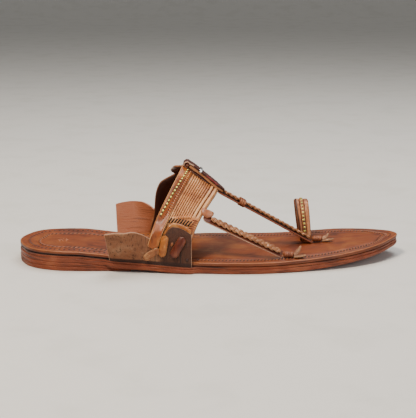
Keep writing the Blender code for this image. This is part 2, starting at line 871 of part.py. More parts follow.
def ear_patch(name, side, top, bottom, width, mat):
    """Thong end lying on the outside of an ear, between two places given as length share and height."""
    a = Vector((place(top[0]), top[1]))
    b = Vector((place(bottom[0]), bottom[1]))
    length = (b - a).length
    across = Vector((-(b - a).y, (b - a).x)).normalized()
    lift = EAR_THICKNESS / 2 + GAP + THONG_THICKNESS / 2
    grid = []
    for share in end_stations(2, width / 2 / length):
        half = round_ends(share, length, width) / 2
        row = []
        for k in (-1, 0, 1):
            spot = a.lerp(b, share) + across * half * k
            row.append(on_ear(spot.x, spot.y, side, lift))
        grid.append(row)
    half = THONG_THICKNESS / 2
    return sheet(name, grid, lambda i, j: half, lambda i, j: half, mat)


def keeper(name, x, y, mat):
    """Short rolled knot lying on the insole in front of a strap's foot."""
    rings = []
    floor = max(insole_top(x - KEEPER_LENGTH / 2), insole_top(x + KEEPER_LENGTH / 2)) + GAP
    for share, size in KEEPER_PROFILE:
        ring = []
        spot = x + (share - 0.5) * KEEPER_LENGTH
        for n in range(KEEPER_SIDES):
            angle = 2 * math.pi * n / KEEPER_SIDES
            ring.append(Vector((spot, y + math.cos(angle) * KEEPER_RADIUS * size,
                                floor + KEEPER_RADIUS * KEEPER_FLATNESS * (1 + math.sin(angle) * size))))
        rings.append(ring)
    return tube(name, rings, mat)


def leaf(name, x, y, heading, mat):
    """Pointed thong end lying on the insole and rising a little towards its tip."""
    forward = Vector((math.cos(heading), math.sin(heading), 0))
    path = []
    for k in range(LEAF_STATIONS):
        t = k / (LEAF_STATIONS - 1)
        spot = Vector((x, y, 0)) + forward * LEAF_LENGTH * t
        lift = THONG_THICKNESS / 2 + LEAF_LIFT + LEAF_TIP_LIFT * t ** 2
        path.append(Vector((spot.x, spot.y, insole_top(spot.x) + lift)))

    def width_at(share):
        belly = 1 - LEAF_BELLY * (1 - math.sin(math.pi * share))
        return LEAF_WIDTH * belly * (1 - LEAF_POINT * share ** 3)

    return ribbon(name, path, width_at, THONG_THICKNESS, Vector((-forward.y, forward.x, 0)), mat)


def make_toe_loop(mat):
    """Arch for the big toe: a strap with a raised rib along its middle."""
    x, y = place(TOE_LOOP_PLACE), TOE_LOOP_SIDE
    floor = insole_top(x) + GAP * 2
    grid = []
    for k in range(TOE_LOOP_STATIONS + 1):
        angle = math.pi * k / TOE_LOOP_STATIONS
        rise = math.sin(angle)
        centre = Vector((x - TOE_LOOP_LEAN * rise, y + math.cos(angle) * TOE_LOOP_SPAN / 2,
                         floor + TOE_LOOP_HEIGHT * rise))
        grid.append([centre + Vector((share * TOE_LOOP_WIDTH, 0, 0)) for share, _ in TOE_LOOP_SECTION])
    half = TOE_LOOP_THICKNESS / 2

    def outside(i, j):
        return half + TOE_LOOP_RIB * TOE_LOOP_SECTION[j][1]

    return sheet("toe_loop", grid, outside, lambda i, j: half, mat)


def over_ear(p, side, lift):
    """Moves a point of the band's outer face outwards where the ear's free edge lies under it."""
    top = ear_root_z(p.x) + ear_height((share_at(p.x) - EAR_REAR) / (EAR_FRONT - EAR_REAR))
    start, end = REAR_STRAP_LIFT
    return p.lerp(on_ear(p.x, p.z, side, lift), 1 - ease(p.z, top + start, top + end))


def make_rear_strap(mat):
    """Strap along the band's rear edge; its rounded ends lie over the ears."""
    shares = end_stations(12, REAR_STRAP_ROUND)[:-END_STEPS - 1]
    ways = [(mix(REAR_STRAP_END, 1, s), s, -1) for s in shares] + [(1.0, 1.0, 1)]
    ways += [(mix(REAR_STRAP_END, 1, s), s, 1) for s in reversed(shares)]
    lift = (EAR_THICKNESS + STRAP_THICKNESS) / 2 + GAP
    grid = []
    for way, share, side in ways:
        narrow = math.sqrt(1 - (1 - min(1.0, share / REAR_STRAP_ROUND)) ** 2)
        half = REAR_STRAP_SHARE / 2 * max(narrow, NARROWEST_END)
        row = []
        for k in REAR_STRAP_COLUMNS:
            w = REAR_STRAP_SHARE / 2 - REAR_STRAP_OVERHANG + half * k
            rest = band_normal(w, way, side) * (BAND_THICKNESS / 2 + STRAP_THICKNESS / 2 - JOIN_DEPTH)
            row.append(over_ear(band_point(w, way, side) + rest, side, lift))
        grid.append(row)
    half = STRAP_THICKNESS / 2
    return sheet("rear strap", grid, lambda i, j: half, lambda i, j: half, mat, guide=True)


def centre_strap(mat):
    """Guide for the centre strap, with the flap's pointed tip at its free end."""
    crest, straight = centre_path()
    total = path_length(crest + straight)
    change = path_length(crest) / total
    point = path_length(crest[:3]) / total

    def width_at(share):
        tip = min(1.0, mix(CREST_TIP_SHARE, 1.0, share / point))
        return mix(CREST_WIDTH * tip, CENTRE_STRAP_WIDTH, ease(share, change - point, change + point))

    return ribbon("centre strap", crest + straight, width_at, STRAP_THICKNESS, Vector((0, 1, 0)), mat, guide=True)


def lateral_strap(mat):
    """Guide for the lateral strap, with a rounded tab at its root."""
    root, foot = lateral_ends()
    length = (foot - root).length
    shares = end_stations(8, LATERAL_STRAP_WIDTH / 2 / length)

    def width_at(share):
        return round_ends(share, length, LATERAL_STRAP_WIDTH, end=False)

    return ribbon("lateral strap", [root.lerp(foot, share) for share in shares], width_at, STRAP_THICKNESS,
                  lateral_across(), mat, guide=True)


def make_upper(mat):
    """Band, rear strap, centre strap with its folded crest, and lateral strap, joined where they cross."""
    upper = make_band(mat)
    for guide in (make_rear_strap(mat), centre_strap(mat), lateral_strap(mat)):
        union(upper, guide)


def lateral_across():
    return Vector((0, math.cos(LATERAL_STRAP_ROLL), math.sin(LATERAL_STRAP_ROLL)))


def lateral_ends():
    """Root of the lateral strap on the band's front edge, and its foot on the insole."""
    w, way = LATERAL_STRAP_ROOT
    start = band_point(w, way, -1) + band_normal(w, way, -1) * (BAND_THICKNESS / 2 + STRAP_THICKNESS / 2)
    x = place(LATERAL_STRAP_FOOT)
    lift = STRAP_THICKNESS / 2 + LATERAL_STRAP_WIDTH / 2 * math.sin(LATERAL_STRAP_ROLL) + GAP
    return start, Vector((x, LATERAL_STRAP_SIDE, insole_top(x) + lift))


def strap_frame(start, foot, across):
    """Direction of a straight strap, its direction across and the way its upper face looks."""
    along = (foot - start).normalized()
    side = (across - along * across.dot(along)).normalized()
    up = along.cross(side)
    return along, side, up if up.z > 0 else -up


def make_braids(mat):
    """The two plaits that lie on their straps, and the collar wound round the centre one."""
    lift = STRAP_THICKNESS / 2 + GAP + BRAID_THICKNESS / 2
    start, foot = centre_path()[1][0], centre_foot()
    along, side, up = strap_frame(start, foot, Vector((0, 1, 0)))
    first, last = CENTRE_BRAID_ENDS
    braid("centre_braid", start + along * first + up * lift, foot - along * last + up * lift, side, mat)
    middle = start.lerp(foot, COLLAR_PLACE) + up * (GAP + BRAID_THICKNESS) / 2
    half_height = (STRAP_THICKNESS + GAP + BRAID_THICKNESS) / 2 + COLLAR_ROOM
    sleeve("centre_collar", middle, along, side, CENTRE_STRAP_WIDTH / 2 + COLLAR_ROOM, half_height, COLLAR_WALL,
           COLLAR_LENGTH, mat, COLLAR_ROUNDNESS)
    start, foot = lateral_ends()
    along, side, up = strap_frame(start, foot, lateral_across())
    first, last = LATERAL_BRAID_ENDS
    braid("lateral_braid", start + along * first + up * lift, foot - along * last + up * lift, side, mat)


def make_clip(mat):
    """Silver-coloured clip round the crest's upper layer."""
    ends = []
    for share in (CLIP_PLACE - CLIP_STEP, CLIP_PLACE + CLIP_STEP):
        ends.append(crown_place(share, crest_seat() + follow(CREST_RISE, share) * CREST_LIFT))
    a, b = ends
    sleeve("crest_clip", (a + b) / 2, (b - a).normalized(), Vector((0, 1, 0)), CREST_WIDTH / 2 + CLIP_ROOM,
           STRAP_THICKNESS / 2 + CLIP_ROOM, CLIP_WALL, CLIP_LENGTH, mat, CLIP_ROUNDNESS)


def make_knot(word, share, y, mat):
    """Keeper and the two thong tips where a strap enters the insole."""
    x = place(share) + STRAP_THICKNESS + KEEPER_LENGTH / 2
    keeper(word + "_keeper", x, y, mat)
    ahead = x + KEEPER_LENGTH / 2 + LEAF_ROOM
    for name, aside, heading in LEAVES:
        leaf(word + "_" + name, ahead, y + LEAF_WIDTH * aside, math.radians(heading), mat)


def build():
    for obj in list(bpy.data.objects):
        bpy.data.objects.remove(obj)
    chestnut = material("leather_sole", (0.30, 0.12, 0.06), 0.55)
    golden = material("leather_band", (0.48, 0.22, 0.09), 0.5)
    flesh = material("leather_ear", (0.27, 0.17, 0.10), 0.7)
    plaited = material("leather_braid", (0.45, 0.24, 0.14), 0.6)
    silver = material("clip_metal", (0.80, 0.80, 0.82), 0.25, 1.0)

    sole_layer("insole", insole_bottom, insole_top, chestnut)
    midsole = sole_layer("midsole", midsole_bottom, midsole_top, chestnut, MIDSOLE_INSET,
                         MIDSOLE_ROUNDING)
    for side in (-1, 1):
        cut(midsole, flange_pocket(side, chestnut))
    sole_layer("outsole", outsole_bottom, outsole_top, chestnut)
    sole_layer("heel_lift_upper", upper_lift_bottom, lambda x: outsole_bottom(x) - GAP, chestnut,
               last=UPPER_LIFT_END)
    sole_layer("heel_lift_lower", lower_lift_bottom, lambda x: upper_lift_bottom(x) - GAP, chestnut,
               last=LOWER_LIFT_END)
    make_upper(golden)
    for side, word in ((-1, "lateral"), (1, "medial")):
        make_ear("ear_" + word, side, flesh)
        for name, top, bottom, width in THONGS:
            ear_patch("thong_" + name + "_" + word, side, top, bottom, width * THONG_WIDTH, golden)
    make_braids(plaited)
    make_clip(silver)
    make_toe_loop(golden)
    make_knot("centre", CENTRE_STRAP_FOOT, CENTRE_STRAP_SIDE, plaited)
    make_knot("lateral", LATERAL_STRAP_FOOT, LATERAL_STRAP_SIDE, plaited)


build()
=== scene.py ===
"""Looks of a right-foot kolhapuri sandal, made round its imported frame.

Metres, +X to the toe, +Y to the wearer's left (the medial side), +Z up. The floor is at height 0.
"""
import logging
import math
from bisect import bisect_left
from dataclasses import dataclass, field
from enum import Enum
from typing import Any, Callable, Sequence

import bpy
from mathutils import Matrix, Vector, noise


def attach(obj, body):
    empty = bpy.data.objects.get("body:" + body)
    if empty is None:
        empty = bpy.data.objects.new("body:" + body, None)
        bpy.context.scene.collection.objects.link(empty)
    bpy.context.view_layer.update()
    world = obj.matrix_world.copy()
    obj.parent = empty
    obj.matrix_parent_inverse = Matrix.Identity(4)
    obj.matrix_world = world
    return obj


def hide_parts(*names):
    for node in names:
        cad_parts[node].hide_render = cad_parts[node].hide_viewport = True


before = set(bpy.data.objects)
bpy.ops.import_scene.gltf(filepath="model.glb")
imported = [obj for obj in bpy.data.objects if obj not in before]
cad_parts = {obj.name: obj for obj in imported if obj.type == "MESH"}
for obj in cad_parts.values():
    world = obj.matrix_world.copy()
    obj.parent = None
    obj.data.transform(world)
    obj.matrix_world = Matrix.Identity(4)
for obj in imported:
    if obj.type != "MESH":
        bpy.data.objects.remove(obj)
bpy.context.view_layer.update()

LOG = logging.getLogger("sandal")
BODY = "root"
CLEARANCE = 0.0003
MM = 0.001

Place = Callable[[float, float], Vector]
Rows = Sequence[Sequence[float]]


class Side(Enum):
    """Side of the sandal: the sign of its Y."""

    LATERAL = -1
    MEDIAL = 1

    @property
    def word(self) -> str:
        """Side's name as the frame's nodes spell it."""
        return self.name.lower()


class Slot(Enum):
    """Material slots of the record."""

    SOLE = "leather_sole"
    BAND = "leather_band"
    EAR = "leather_ear"
    BRAID = "leather_braid"
    METAL = "clip_metal"


def mix(a: Any, b: Any, t: float) -> Any:
    """Value between a and b at share t."""
    return a + (b - a) * t


def ease(value: float, start: float, end: float) -> float:
    """Smooth step from 0 at start to 1 at end."""
    t = min(1.0, max(0.0, (value - start) / (end - start)))
    return t * t * (3 - 2 * t)


def follow(rows: Rows, share: float, column: int = 1) -> float:
    """Reads one column of a table by a cubic that never overshoots its rows.

    Args:
        rows: Table whose first column rises.
        share: Place in the first column.
        column: Column to read.

    Returns:
        Value of the column there.
    """
    last = len(rows) - 1
    if share <= rows[0][0]:
        return rows[0][column]
    if share >= rows[last][0]:
        return rows[last][column]
    i = next(k for k in range(last) if share <= rows[k + 1][0])

    def slope(k: int) -> float:
        """Slope of the straight line from row k to the next."""
        return (rows[k + 1][column] - rows[k][column]) / (rows[k + 1][0] - rows[k][0])

    def tangent(k: int) -> float:
        """Slope of the curve at row k.

        Args:
            k: Row.

        Returns:
            The slope.
        """
        if k in (0, last):
            return slope(min(k, last - 1))
        before, after = slope(k - 1), slope(k)
        return 0.0 if before * after <= 0 else 2 * before * after / (before + after)

    step = rows[i + 1][0] - rows[i][0]
    t = (share - rows[i][0]) / step
    a, b = rows[i][column], rows[i + 1][column]
    ends = a * (2 * t ** 3 - 3 * t ** 2 + 1) + b * (3 * t ** 2 - 2 * t ** 3)
    return ends + step * (tangent(i) * (t ** 3 - 2 * t ** 2 + t) + tangent(i + 1) * (t ** 3 - t ** 2))


@dataclass(frozen=True)
class SoleShape:
    """Outline and heights of the sole, as the frame has them."""

    length: float = 0.2825
    breadth: float = 0.092
    behind: float = 0.036
    insole: float = 0.0026
    middle: float = 0.0020
    outsole: float = 0.0030
    lift_upper: float = 0.0026
    lift_lower: float = 0.0030
    lift_edge: float = 0.0006
    toe_spring: float = 0.0090
    lower_end: float = 0.300
    upper_end: float = 0.335
    skive_start: float = 0.235
    spine_step: float = 0.0045
    outline: Rows = (
        (0.000, 0.045, 0.045), (0.012, -0.110, 0.215), (0.045, -0.270, 0.355), (0.105, -0.365, 0.405),
        (0.170, -0.388, 0.403), (0.250, -0.388, 0.398), (0.330, -0.415, 0.425), (0.410, -0.443, 0.485),
        (0.500, -0.468, 0.520), (0.580, -0.480, 0.522), (0.660, -0.458, 0.527), (0.740, -0.408, 0.538),
        (0.800, -0.358, 0.546), (0.855, -0.293, 0.528), (0.905, -0.207, 0.470), (0.945, -0.108, 0.392),
        (0.975, 0.006, 0.312), (0.993, 0.087, 0.239), (1.000, 0.163, 0.163),
    )
    rise: Rows = (
        (0.000, 1.00, 0.00), (0.150, 1.00, 0.00), (0.210, 0.77, 0.00), (0.265, 0.50, 0.00),
        (0.332, 0.37, 0.00), (0.400, 0.14, 0.00), (0.470, 0.00, 0.00), (0.640, 0.00, 0.00),
        (0.720, 0.00, 0.07), (0.800, 0.00, 0.23), (0.900, 0.00, 0.56), (1.000, 0.00, 1.00),
    )
    skive: Rows = ((0.00, 1.00), (0.80, 1.00), (1.00, 0.62))
    edges: dict[int, list[Vector]] = field(default_factory=dict)

    def place(self, share: float) -> float:
        """X of a share of the length."""
        return share * self.length - self.behind

    def share(self, x: float) -> float:
        """Share of the length at X."""
        return (x + self.behind) / self.length

    def outsole_bottom(self, x: float) -> float:
        """Height of the outsole's underside.

        Args:
            x: Place along the sole.

        Returns:
            Height there.
        """
        share = self.share(x)
        heel = self.lift_upper + self.lift_lower + 2 * CLEARANCE
        return follow(self.rise, share, 1) * heel + follow(self.rise, share, 2) * self.toe_spring

    def outsole_top(self, x: float) -> float:
        """Height of the outsole's upper face."""
        return self.outsole_bottom(x) + self.outsole * follow(self.skive, self.share(x))

    def middle_bottom(self, x: float) -> float:
        """Height of the middle layer's underside."""
        return self.outsole_top(x) + CLEARANCE

    def middle_top(self, x: float) -> float:
        """Height of the middle layer's upper face."""
        return self.middle_bottom(x) + self.middle

    def insole_bottom(self, x: float) -> float:
        """Height of the insole's underside."""
        return self.middle_top(x) + CLEARANCE

    def insole_top(self, x: float) -> float:
        """Height of the face that the foot stands on."""
        return self.insole_bottom(x) + self.insole

    def lift_split(self, x: float) -> float:
        """Height of the upper heel lift's underside."""
        room = self.outsole_bottom(x) - 2 * CLEARANCE
        return self.outsole_bottom(x) - CLEARANCE - room * self.lift_upper / (self.lift_upper + self.lift_lower)

    def lift_bottom(self, x: float) -> float:
        """Height of the lower heel lift's underside: flat, then skived up to its front edge."""
        skive = ease(self.share(x), self.skive_start, self.lower_end)
        return skive * (self.lift_split(x) - CLEARANCE - self.lift_edge)

    def edge(self, side: Side, count: int) -> list[Vector]:
        """Points along one edge from the heel's back to the toe's tip.

        Args:
            side: Edge to follow.
            count: Number of steps.

        Returns:
            Flat points, count + 1 of them.
        """
        column, other = (1, 2) if side is Side.LATERAL else (2, 1)
        rows = [(self.place(r[0]), r[column] * self.breadth) for r in self.outline]
        before = (rows[1][0], self.outline[1][other] * self.breadth)
        after = (rows[-2][0], self.outline[-2][other] * self.breadth)
        p = [Vector(q) for q in [before, *rows, after]]
        knots = [0.0]
        for a, b in zip(p, p[1:]):
            knots.append(knots[-1] + math.sqrt((b - a).length))
        result = []
        for n in range(count + 1):
            t = mix(knots[1], knots[-2], n / count)
            i = min(len(p) - 3, max(1, bisect_left(knots, t, 1) - 1))
            k = knots[i - 1:i + 3]
            a1 = p[i - 1].lerp(p[i], (t - k[0]) / (k[1] - k[0]))
            a2 = p[i].lerp(p[i + 1], (t - k[1]) / (k[2] - k[1]))
            a3 = p[i + 1].lerp(p[i + 2], (t - k[2]) / (k[3] - k[2]))
            b1 = a1.lerp(a2, (t - k[0]) / (k[2] - k[0]))
            b2 = a2.lerp(a3, (t - k[1]) / (k[3] - k[1]))
            result.append(b1.lerp(b2, (t - k[1]) / (k[2] - k[1])))
        return result

    def edge_y(self, x: float, side: Side) -> float:
        """Y of the edge at X.

        Args:
            x: Place along the sole.
            side: Edge to read.

        Returns:
            Its Y.
        """
        if side.value not in self.edges:
            self.edges[side.value] = self.edge(side, 120)
        line = self.edges[side.value]
        i = min(max(1, bisect_left(line, x, key=lambda p: p.x)), len(line) - 1)
        a, b = line[i - 1], line[i]
        return mix(a.y, b.y, min(1.0, max(0.0, (x - a.x) / max(b.x - a.x, 1e-9))))

    def loop(self, count: int, last: float = 1.0) -> list[Vector]:
        """Closed outline, lateral edge first.

        Args:
            count: Steps along each edge.
            last: Share of the length where the layer ends in a straight front edge.

        Returns:
            Flat points of the loop.
        """
        lateral, medial = self.edge(Side.LATERAL, count), self.edge(Side.MEDIAL, count)
        if last >= 1.0:
            return lateral + medial[-2:0:-1]
        end = self.place(last)
        sides = [[p for p in line if p.x < end - MM] for line in (lateral, medial)]
        y = [self.edge_y(end, side) for side in Side]
        front = [Vector((end, mix(y[0], y[1], k / 8))) for k in range(9)]
        return sides[0] + front + sides[1][:0:-1]

    def spine(self, p: Vector, last: float = 1.0) -> Vector:
        """Point of the layer's middle line that a point of its outline looks to.

        Args:
            p: Point of the outline.
            last: Length share where the layer ends.

        Returns:
            Flat point of the middle line.
        """
        low, high = self.place(0.0) + 0.028, self.place(last) - (0.020 if last >= 1.0 else 0.012)
        steps = max(1, round((high - low) / self.spine_step))
        x = mix(low, high, round(min(1.0, max(0.0, (p.x - low) / (high - low))) * steps) / steps)
        return Vector((x, (self.edge_y(x, Side.LATERAL) + self.edge_y(x, Side.MEDIAL)) / 2))

    def ring(self, inset: float, medial: float, count: int = 300) -> list[Vector]:
        """Closed line on the insole at a distance in from its edge.

        Args:
            inset: Distance on the lateral side.
            medial: Distance on the medial side.
            count: Steps along each edge.

        Returns:
            Points on the insole's upper face.
        """
        points = []
        for p in self.loop(count):
            inward = self.spine(p) - p
            middle = self.spine(p)
            side = ease((p.y - middle.y) / self.breadth, -0.25, 0.25)
            q = p + inward.normalized() * mix(inset, medial, side)
            points.append(Vector((q.x, q.y, self.insole_top(q.x))))
        return points


SOLE = SoleShape()


@dataclass(frozen=True)
class BandShape:
    """Surface of the instep band, as the frame has it."""

    thickness: float = 0.0020
    ridge: float = 0.0007
    height: tuple[float, float] = (0.0590, 0.0435)
    foot: tuple[float, float] = (0.337, 0.445)
    crown: tuple[float, float] = (0.429, 0.518)
    sweep: tuple[float, float] = (1.4, 2.2)
    lobe: float = 0.0050
    lobe_depth: float = 0.30
    hoop: Rows = (
        (0.00, 0.00, 1.000), (0.13, 0.16, 0.995), (0.28, 0.34, 0.945), (0.44, 0.53, 0.830), (0.60, 0.715, 0.665),
        (0.74, 0.860, 0.475), (0.87, 0.960, 0.255), (1.00, 1.000, 0.000), (1.13, 0.960, -0.255),
    )
    lobes: Rows = ((0.505, 0.540, 0.600, 0.635, 1.10), (0.625, 0.705, 0.710, 0.930, 1.45))

    def foot_y(self, w: float, side: Side) -> float:
        """Y of the middle surface at the foot, at share w from the rear edge."""
        x = SOLE.place(mix(*self.foot, w))
        return SOLE.edge_y(x, side) - side.value * (self.thickness / 2 + self.ridge)

    def foot_z(self, w: float) -> float:
        """Height of the foot."""
        return SOLE.insole_top(SOLE.place(mix(*self.foot, w))) + CLEARANCE

    def x_at(self, w: float, rise: float) -> float:
        """X at a share of the height."""
        return mix(SOLE.place(mix(*self.foot, w)), SOLE.place(mix(*self.crown, w)),
                   max(rise, 0.0) ** mix(*self.sweep, w))

    def point(self, w: float, way: float, side: Side) -> Vector:
        """Point of the middle surface: w from rear to front, way from foot to crown.

        Args:
            w: Share from the rear edge to the front one.
            way: Share from foot to crown.
            side: Side of the band.

        Returns:
            The point.
        """
        rise = follow(self.hoop, way, 1)
        y = follow(self.hoop, way, 2) * self.foot_y(w, side)
        return Vector((self.x_at(w, rise), y, self.foot_z(w) + mix(*self.height, w) * rise))

    def normal(self, w: float, way: float, side: Side) -> Vector:
        """Outward normal of the middle surface.

        Args:
            w: Share from the rear edge to the front one.
            way: Share from foot to crown.
            side: Side of the band.

        Returns:
            Unit vector.
        """
        step = 0.01
        along = self.point(w, way + step, side) - self.point(w, way - step, side)
        across = self.point(w + step, way, side) - self.point(w - step, way, side)
        return along.cross(across).normalized() * side.value

    def outside(self, w: float, way: float, side: Side, lift: float = 0.0) -> Vector:
        """Point above the band's outer face."""
        return self.point(w, way, side) + self.normal(w, way, side) * (self.thickness / 2 + lift)

    def way_at(self, rise: float) -> float:
        """Share of the way where the hoop has a share of its height.

        Args:
            rise: Share of the height.

        Returns:
            Share of the way from foot to crown.
        """
        low, high = 0.0, 1.0
        for _ in range(20):
            middle = (low + high) / 2
            low, high = (middle, high) if follow(self.hoop, middle, 1) < rise else (low, middle)
        return low

    def y_at(self, x: float, z: float, side: Side) -> float:
        """Y of the middle surface at a place seen from the side.

        Args:
            x: Place along the sole.
            z: Height.
            side: Side of the band.

        Returns:
            Its Y.
        """
        w = 0.5
        for _ in range(10):
            rise = min(1.0, max(0.0, (z - self.foot_z(w)) / mix(*self.height, w)))
            wide = self.x_at(1.0, rise) - self.x_at(0.0, rise)
            w = min(1.1, max(-0.6, w + (x - self.x_at(w, rise)) / wide))
        return follow(self.hoop, self.way_at(rise), 2) * self.foot_y(w, side)

    def rear_lobe(self, share: float) -> float:
        """Reach of the rear edge's two lobes at a share of the way from foot to foot."""
        return self.lobe * sum(reach * ease(share, start, full) * (1 - ease(share, fade, end))
                               for start, full, fade, end, reach in self.lobes)


BAND = BandShape()


@dataclass(frozen=True)
class EarShape:
    """Surface of the two ears, as the frame has it."""

    height: float = 0.0285
    flange: float = 0.0120
    lean: float = math.radians(32)
    sweep: float = 0.0020
    bend: float = 0.0022
    ends: tuple[float, float] = (0.248, 0.452)
    flare: tuple[float, float] = (0.285, 0.375)
    tops: dict[Side, Rows] = field(default_factory=lambda: {
        Side.LATERAL: ((0.00, 0.84), (0.16, 0.92), (0.28, 0.90), (0.40, 0.74), (0.52, 0.58), (0.62, 0.60),
                       (0.69, 0.71), (0.73, 0.83), (0.78, 0.89), (0.87, 0.87), (1.00, 0.74)),
        Side.MEDIAL: ((0.00, 0.84), (0.08, 0.90), (0.20, 0.94), (0.32, 0.90), (0.43, 0.80), (0.52, 0.68),
                      (0.62, 0.70), (0.70, 0.84), (0.80, 0.90), (0.90, 0.86), (1.00, 0.74)),
    })
    cover: float = 0.00091

    def reach(self, share: float, side: Side) -> float:
        """Developed height of the free edge at a share from rear to front."""
        return self.height * follow(self.tops[side], share)

    def root_z(self, x: float) -> float:
        """Height where the wall begins above its bend."""
        return (SOLE.middle_bottom(x) + SOLE.middle_top(x)) / 2 + self.bend

    def hug(self, x: float) -> float:
        """How far the ear lies on the band: 0 behind it, 1 on it."""
        return ease(SOLE.share(x), *self.flare)

    def point(self, x: float, rise: float, side: Side) -> Vector:
        """Point of the middle surface.

        Args:
            x: Place along the sole.
            rise: Developed height above the bend.
            side: Which ear.

        Returns:
            The point.
        """
        hug = self.hug(x)
        out = SOLE.edge_y(x, side) + side.value * (CLEARANCE + SOLE.middle / 2 + math.sin(self.lean) * rise)
        z = self.root_z(x) + rise * math.cos(self.lean * (1 - hug))
        step = SOLE.middle / 2
        slope = (BAND.y_at(x, z + step, side) - BAND.y_at(x, z - step, side)) / (2 * step)
        lift = (BAND.thickness / 2 + self.cover + CLEARANCE + step) * math.hypot(1, slope)
        return Vector((x, mix(out, BAND.y_at(x, z, side) + side.value * lift, hug), z))

    def outside(self, x: float, z: float, side: Side, lift: float) -> Vector:
        """Point outside the middle surface by a distance, at a place seen from the side.

        Args:
            x: Place along the sole.
            z: Height.
            side: Which ear.
            lift: Distance outside.

        Returns:
            The point.
        """
        step = 0.001
        rise = (z - self.root_z(x)) / math.cos(self.lean * (1 - self.hug(x)))
        along = self.point(x + step, rise, side) - self.point(x - step, rise, side)
        upwards = self.point(x, rise + step, side) - self.point(x, rise - step, side)
        return self.point(x, rise, side) + along.cross(upwards).normalized() * -side.value * lift


EAR = EarShape()


def linear(colour: str) -> tuple[float, float, float, float]:
    """Linear colour of an sRGB hex value."""
    parts = [int(colour[k:k + 2], 16) / 255 for k in (1, 3, 5)]
    return (*[c / 12.92 if c <= 0.04045 else ((c + 0.055) / 1.055) ** 2.4 for c in parts], 1.0)


def add_node(tree: bpy.types.NodeTree, kind: str, settings: dict[str, Any] | None = None,
             **sockets: Any) -> bpy.types.Node:
    """Adds a node with its settings, values and links.

    Args:
        tree: Tree that gets the node.
        kind: Node's type.
        settings: Properties of the node.
        sockets: Values or output sockets for its inputs; a name's spaces are underscores, and iN is input N.

    Returns:
        The new node.
    """
    node = tree.nodes.new(kind)
    for key, value in (settings or {}).items():
        setattr(node, key, value)
    for key, value in sockets.items():
        socket = node.inputs[int(key[1:])] if key[1:].isdigit() else node.inputs[key.replace("_", " ")]
        if isinstance(value, bpy.types.NodeSocket):
            tree.links.new(value, socket)
        else:
            socket.default_value = value
    return node


class Dye:
    """Mixes a leather's colour step by step in its node tree."""

    def __init__(self, tree: bpy.types.NodeTree, colour: str) -> None:
        """Starts from one colour.

        Args:
            tree: Tree to work in.
            colour: Colour it starts from.
        """
        self.tree = tree
        self.base = linear(colour)
        self.out: Any = None

    def over(self, share: bpy.types.NodeSocket, colour: str, blend: str = "MIX") -> None:
        """Lays a colour over what is there, by a share.

        Args:
            share: Share of the new colour.
            colour: The new colour.
            blend: How it is mixed in.
        """
        node = add_node(self.tree, "ShaderNodeMix", {"data_type": "RGBA", "blend_type": blend},
                        i0=share, i6=self.out or self.base, i7=linear(colour))
        self.out = node.outputs[2]


def ramp(tree: bpy.types.NodeTree, value: bpy.types.NodeSocket, low: float, high: float,
         top: float = 1.0) -> bpy.types.NodeSocket:
    """Share that rises from 0 to top as a value goes from low to high.

    Args:
        tree: Tree that gets the node.
        value: Value to read.
        low: Value that gives 0.
        high: Value that gives top.
        top: Highest share.

    Returns:
        Socket of the share.
    """
    node = add_node(tree, "ShaderNodeMapRange", {"interpolation_type": "SMOOTHSTEP"}, Value=value,
                    From_Min=low, From_Max=high, To_Min=0.0, To_Max=top)
    return node.outputs[0]


def product(tree: bpy.types.NodeTree, a: Any, b: Any) -> bpy.types.NodeSocket:
    """Product of two values."""
    return add_node(tree, "ShaderNodeMath", {"operation": "MULTIPLY"}, i0=a, i1=b).outputs[0]


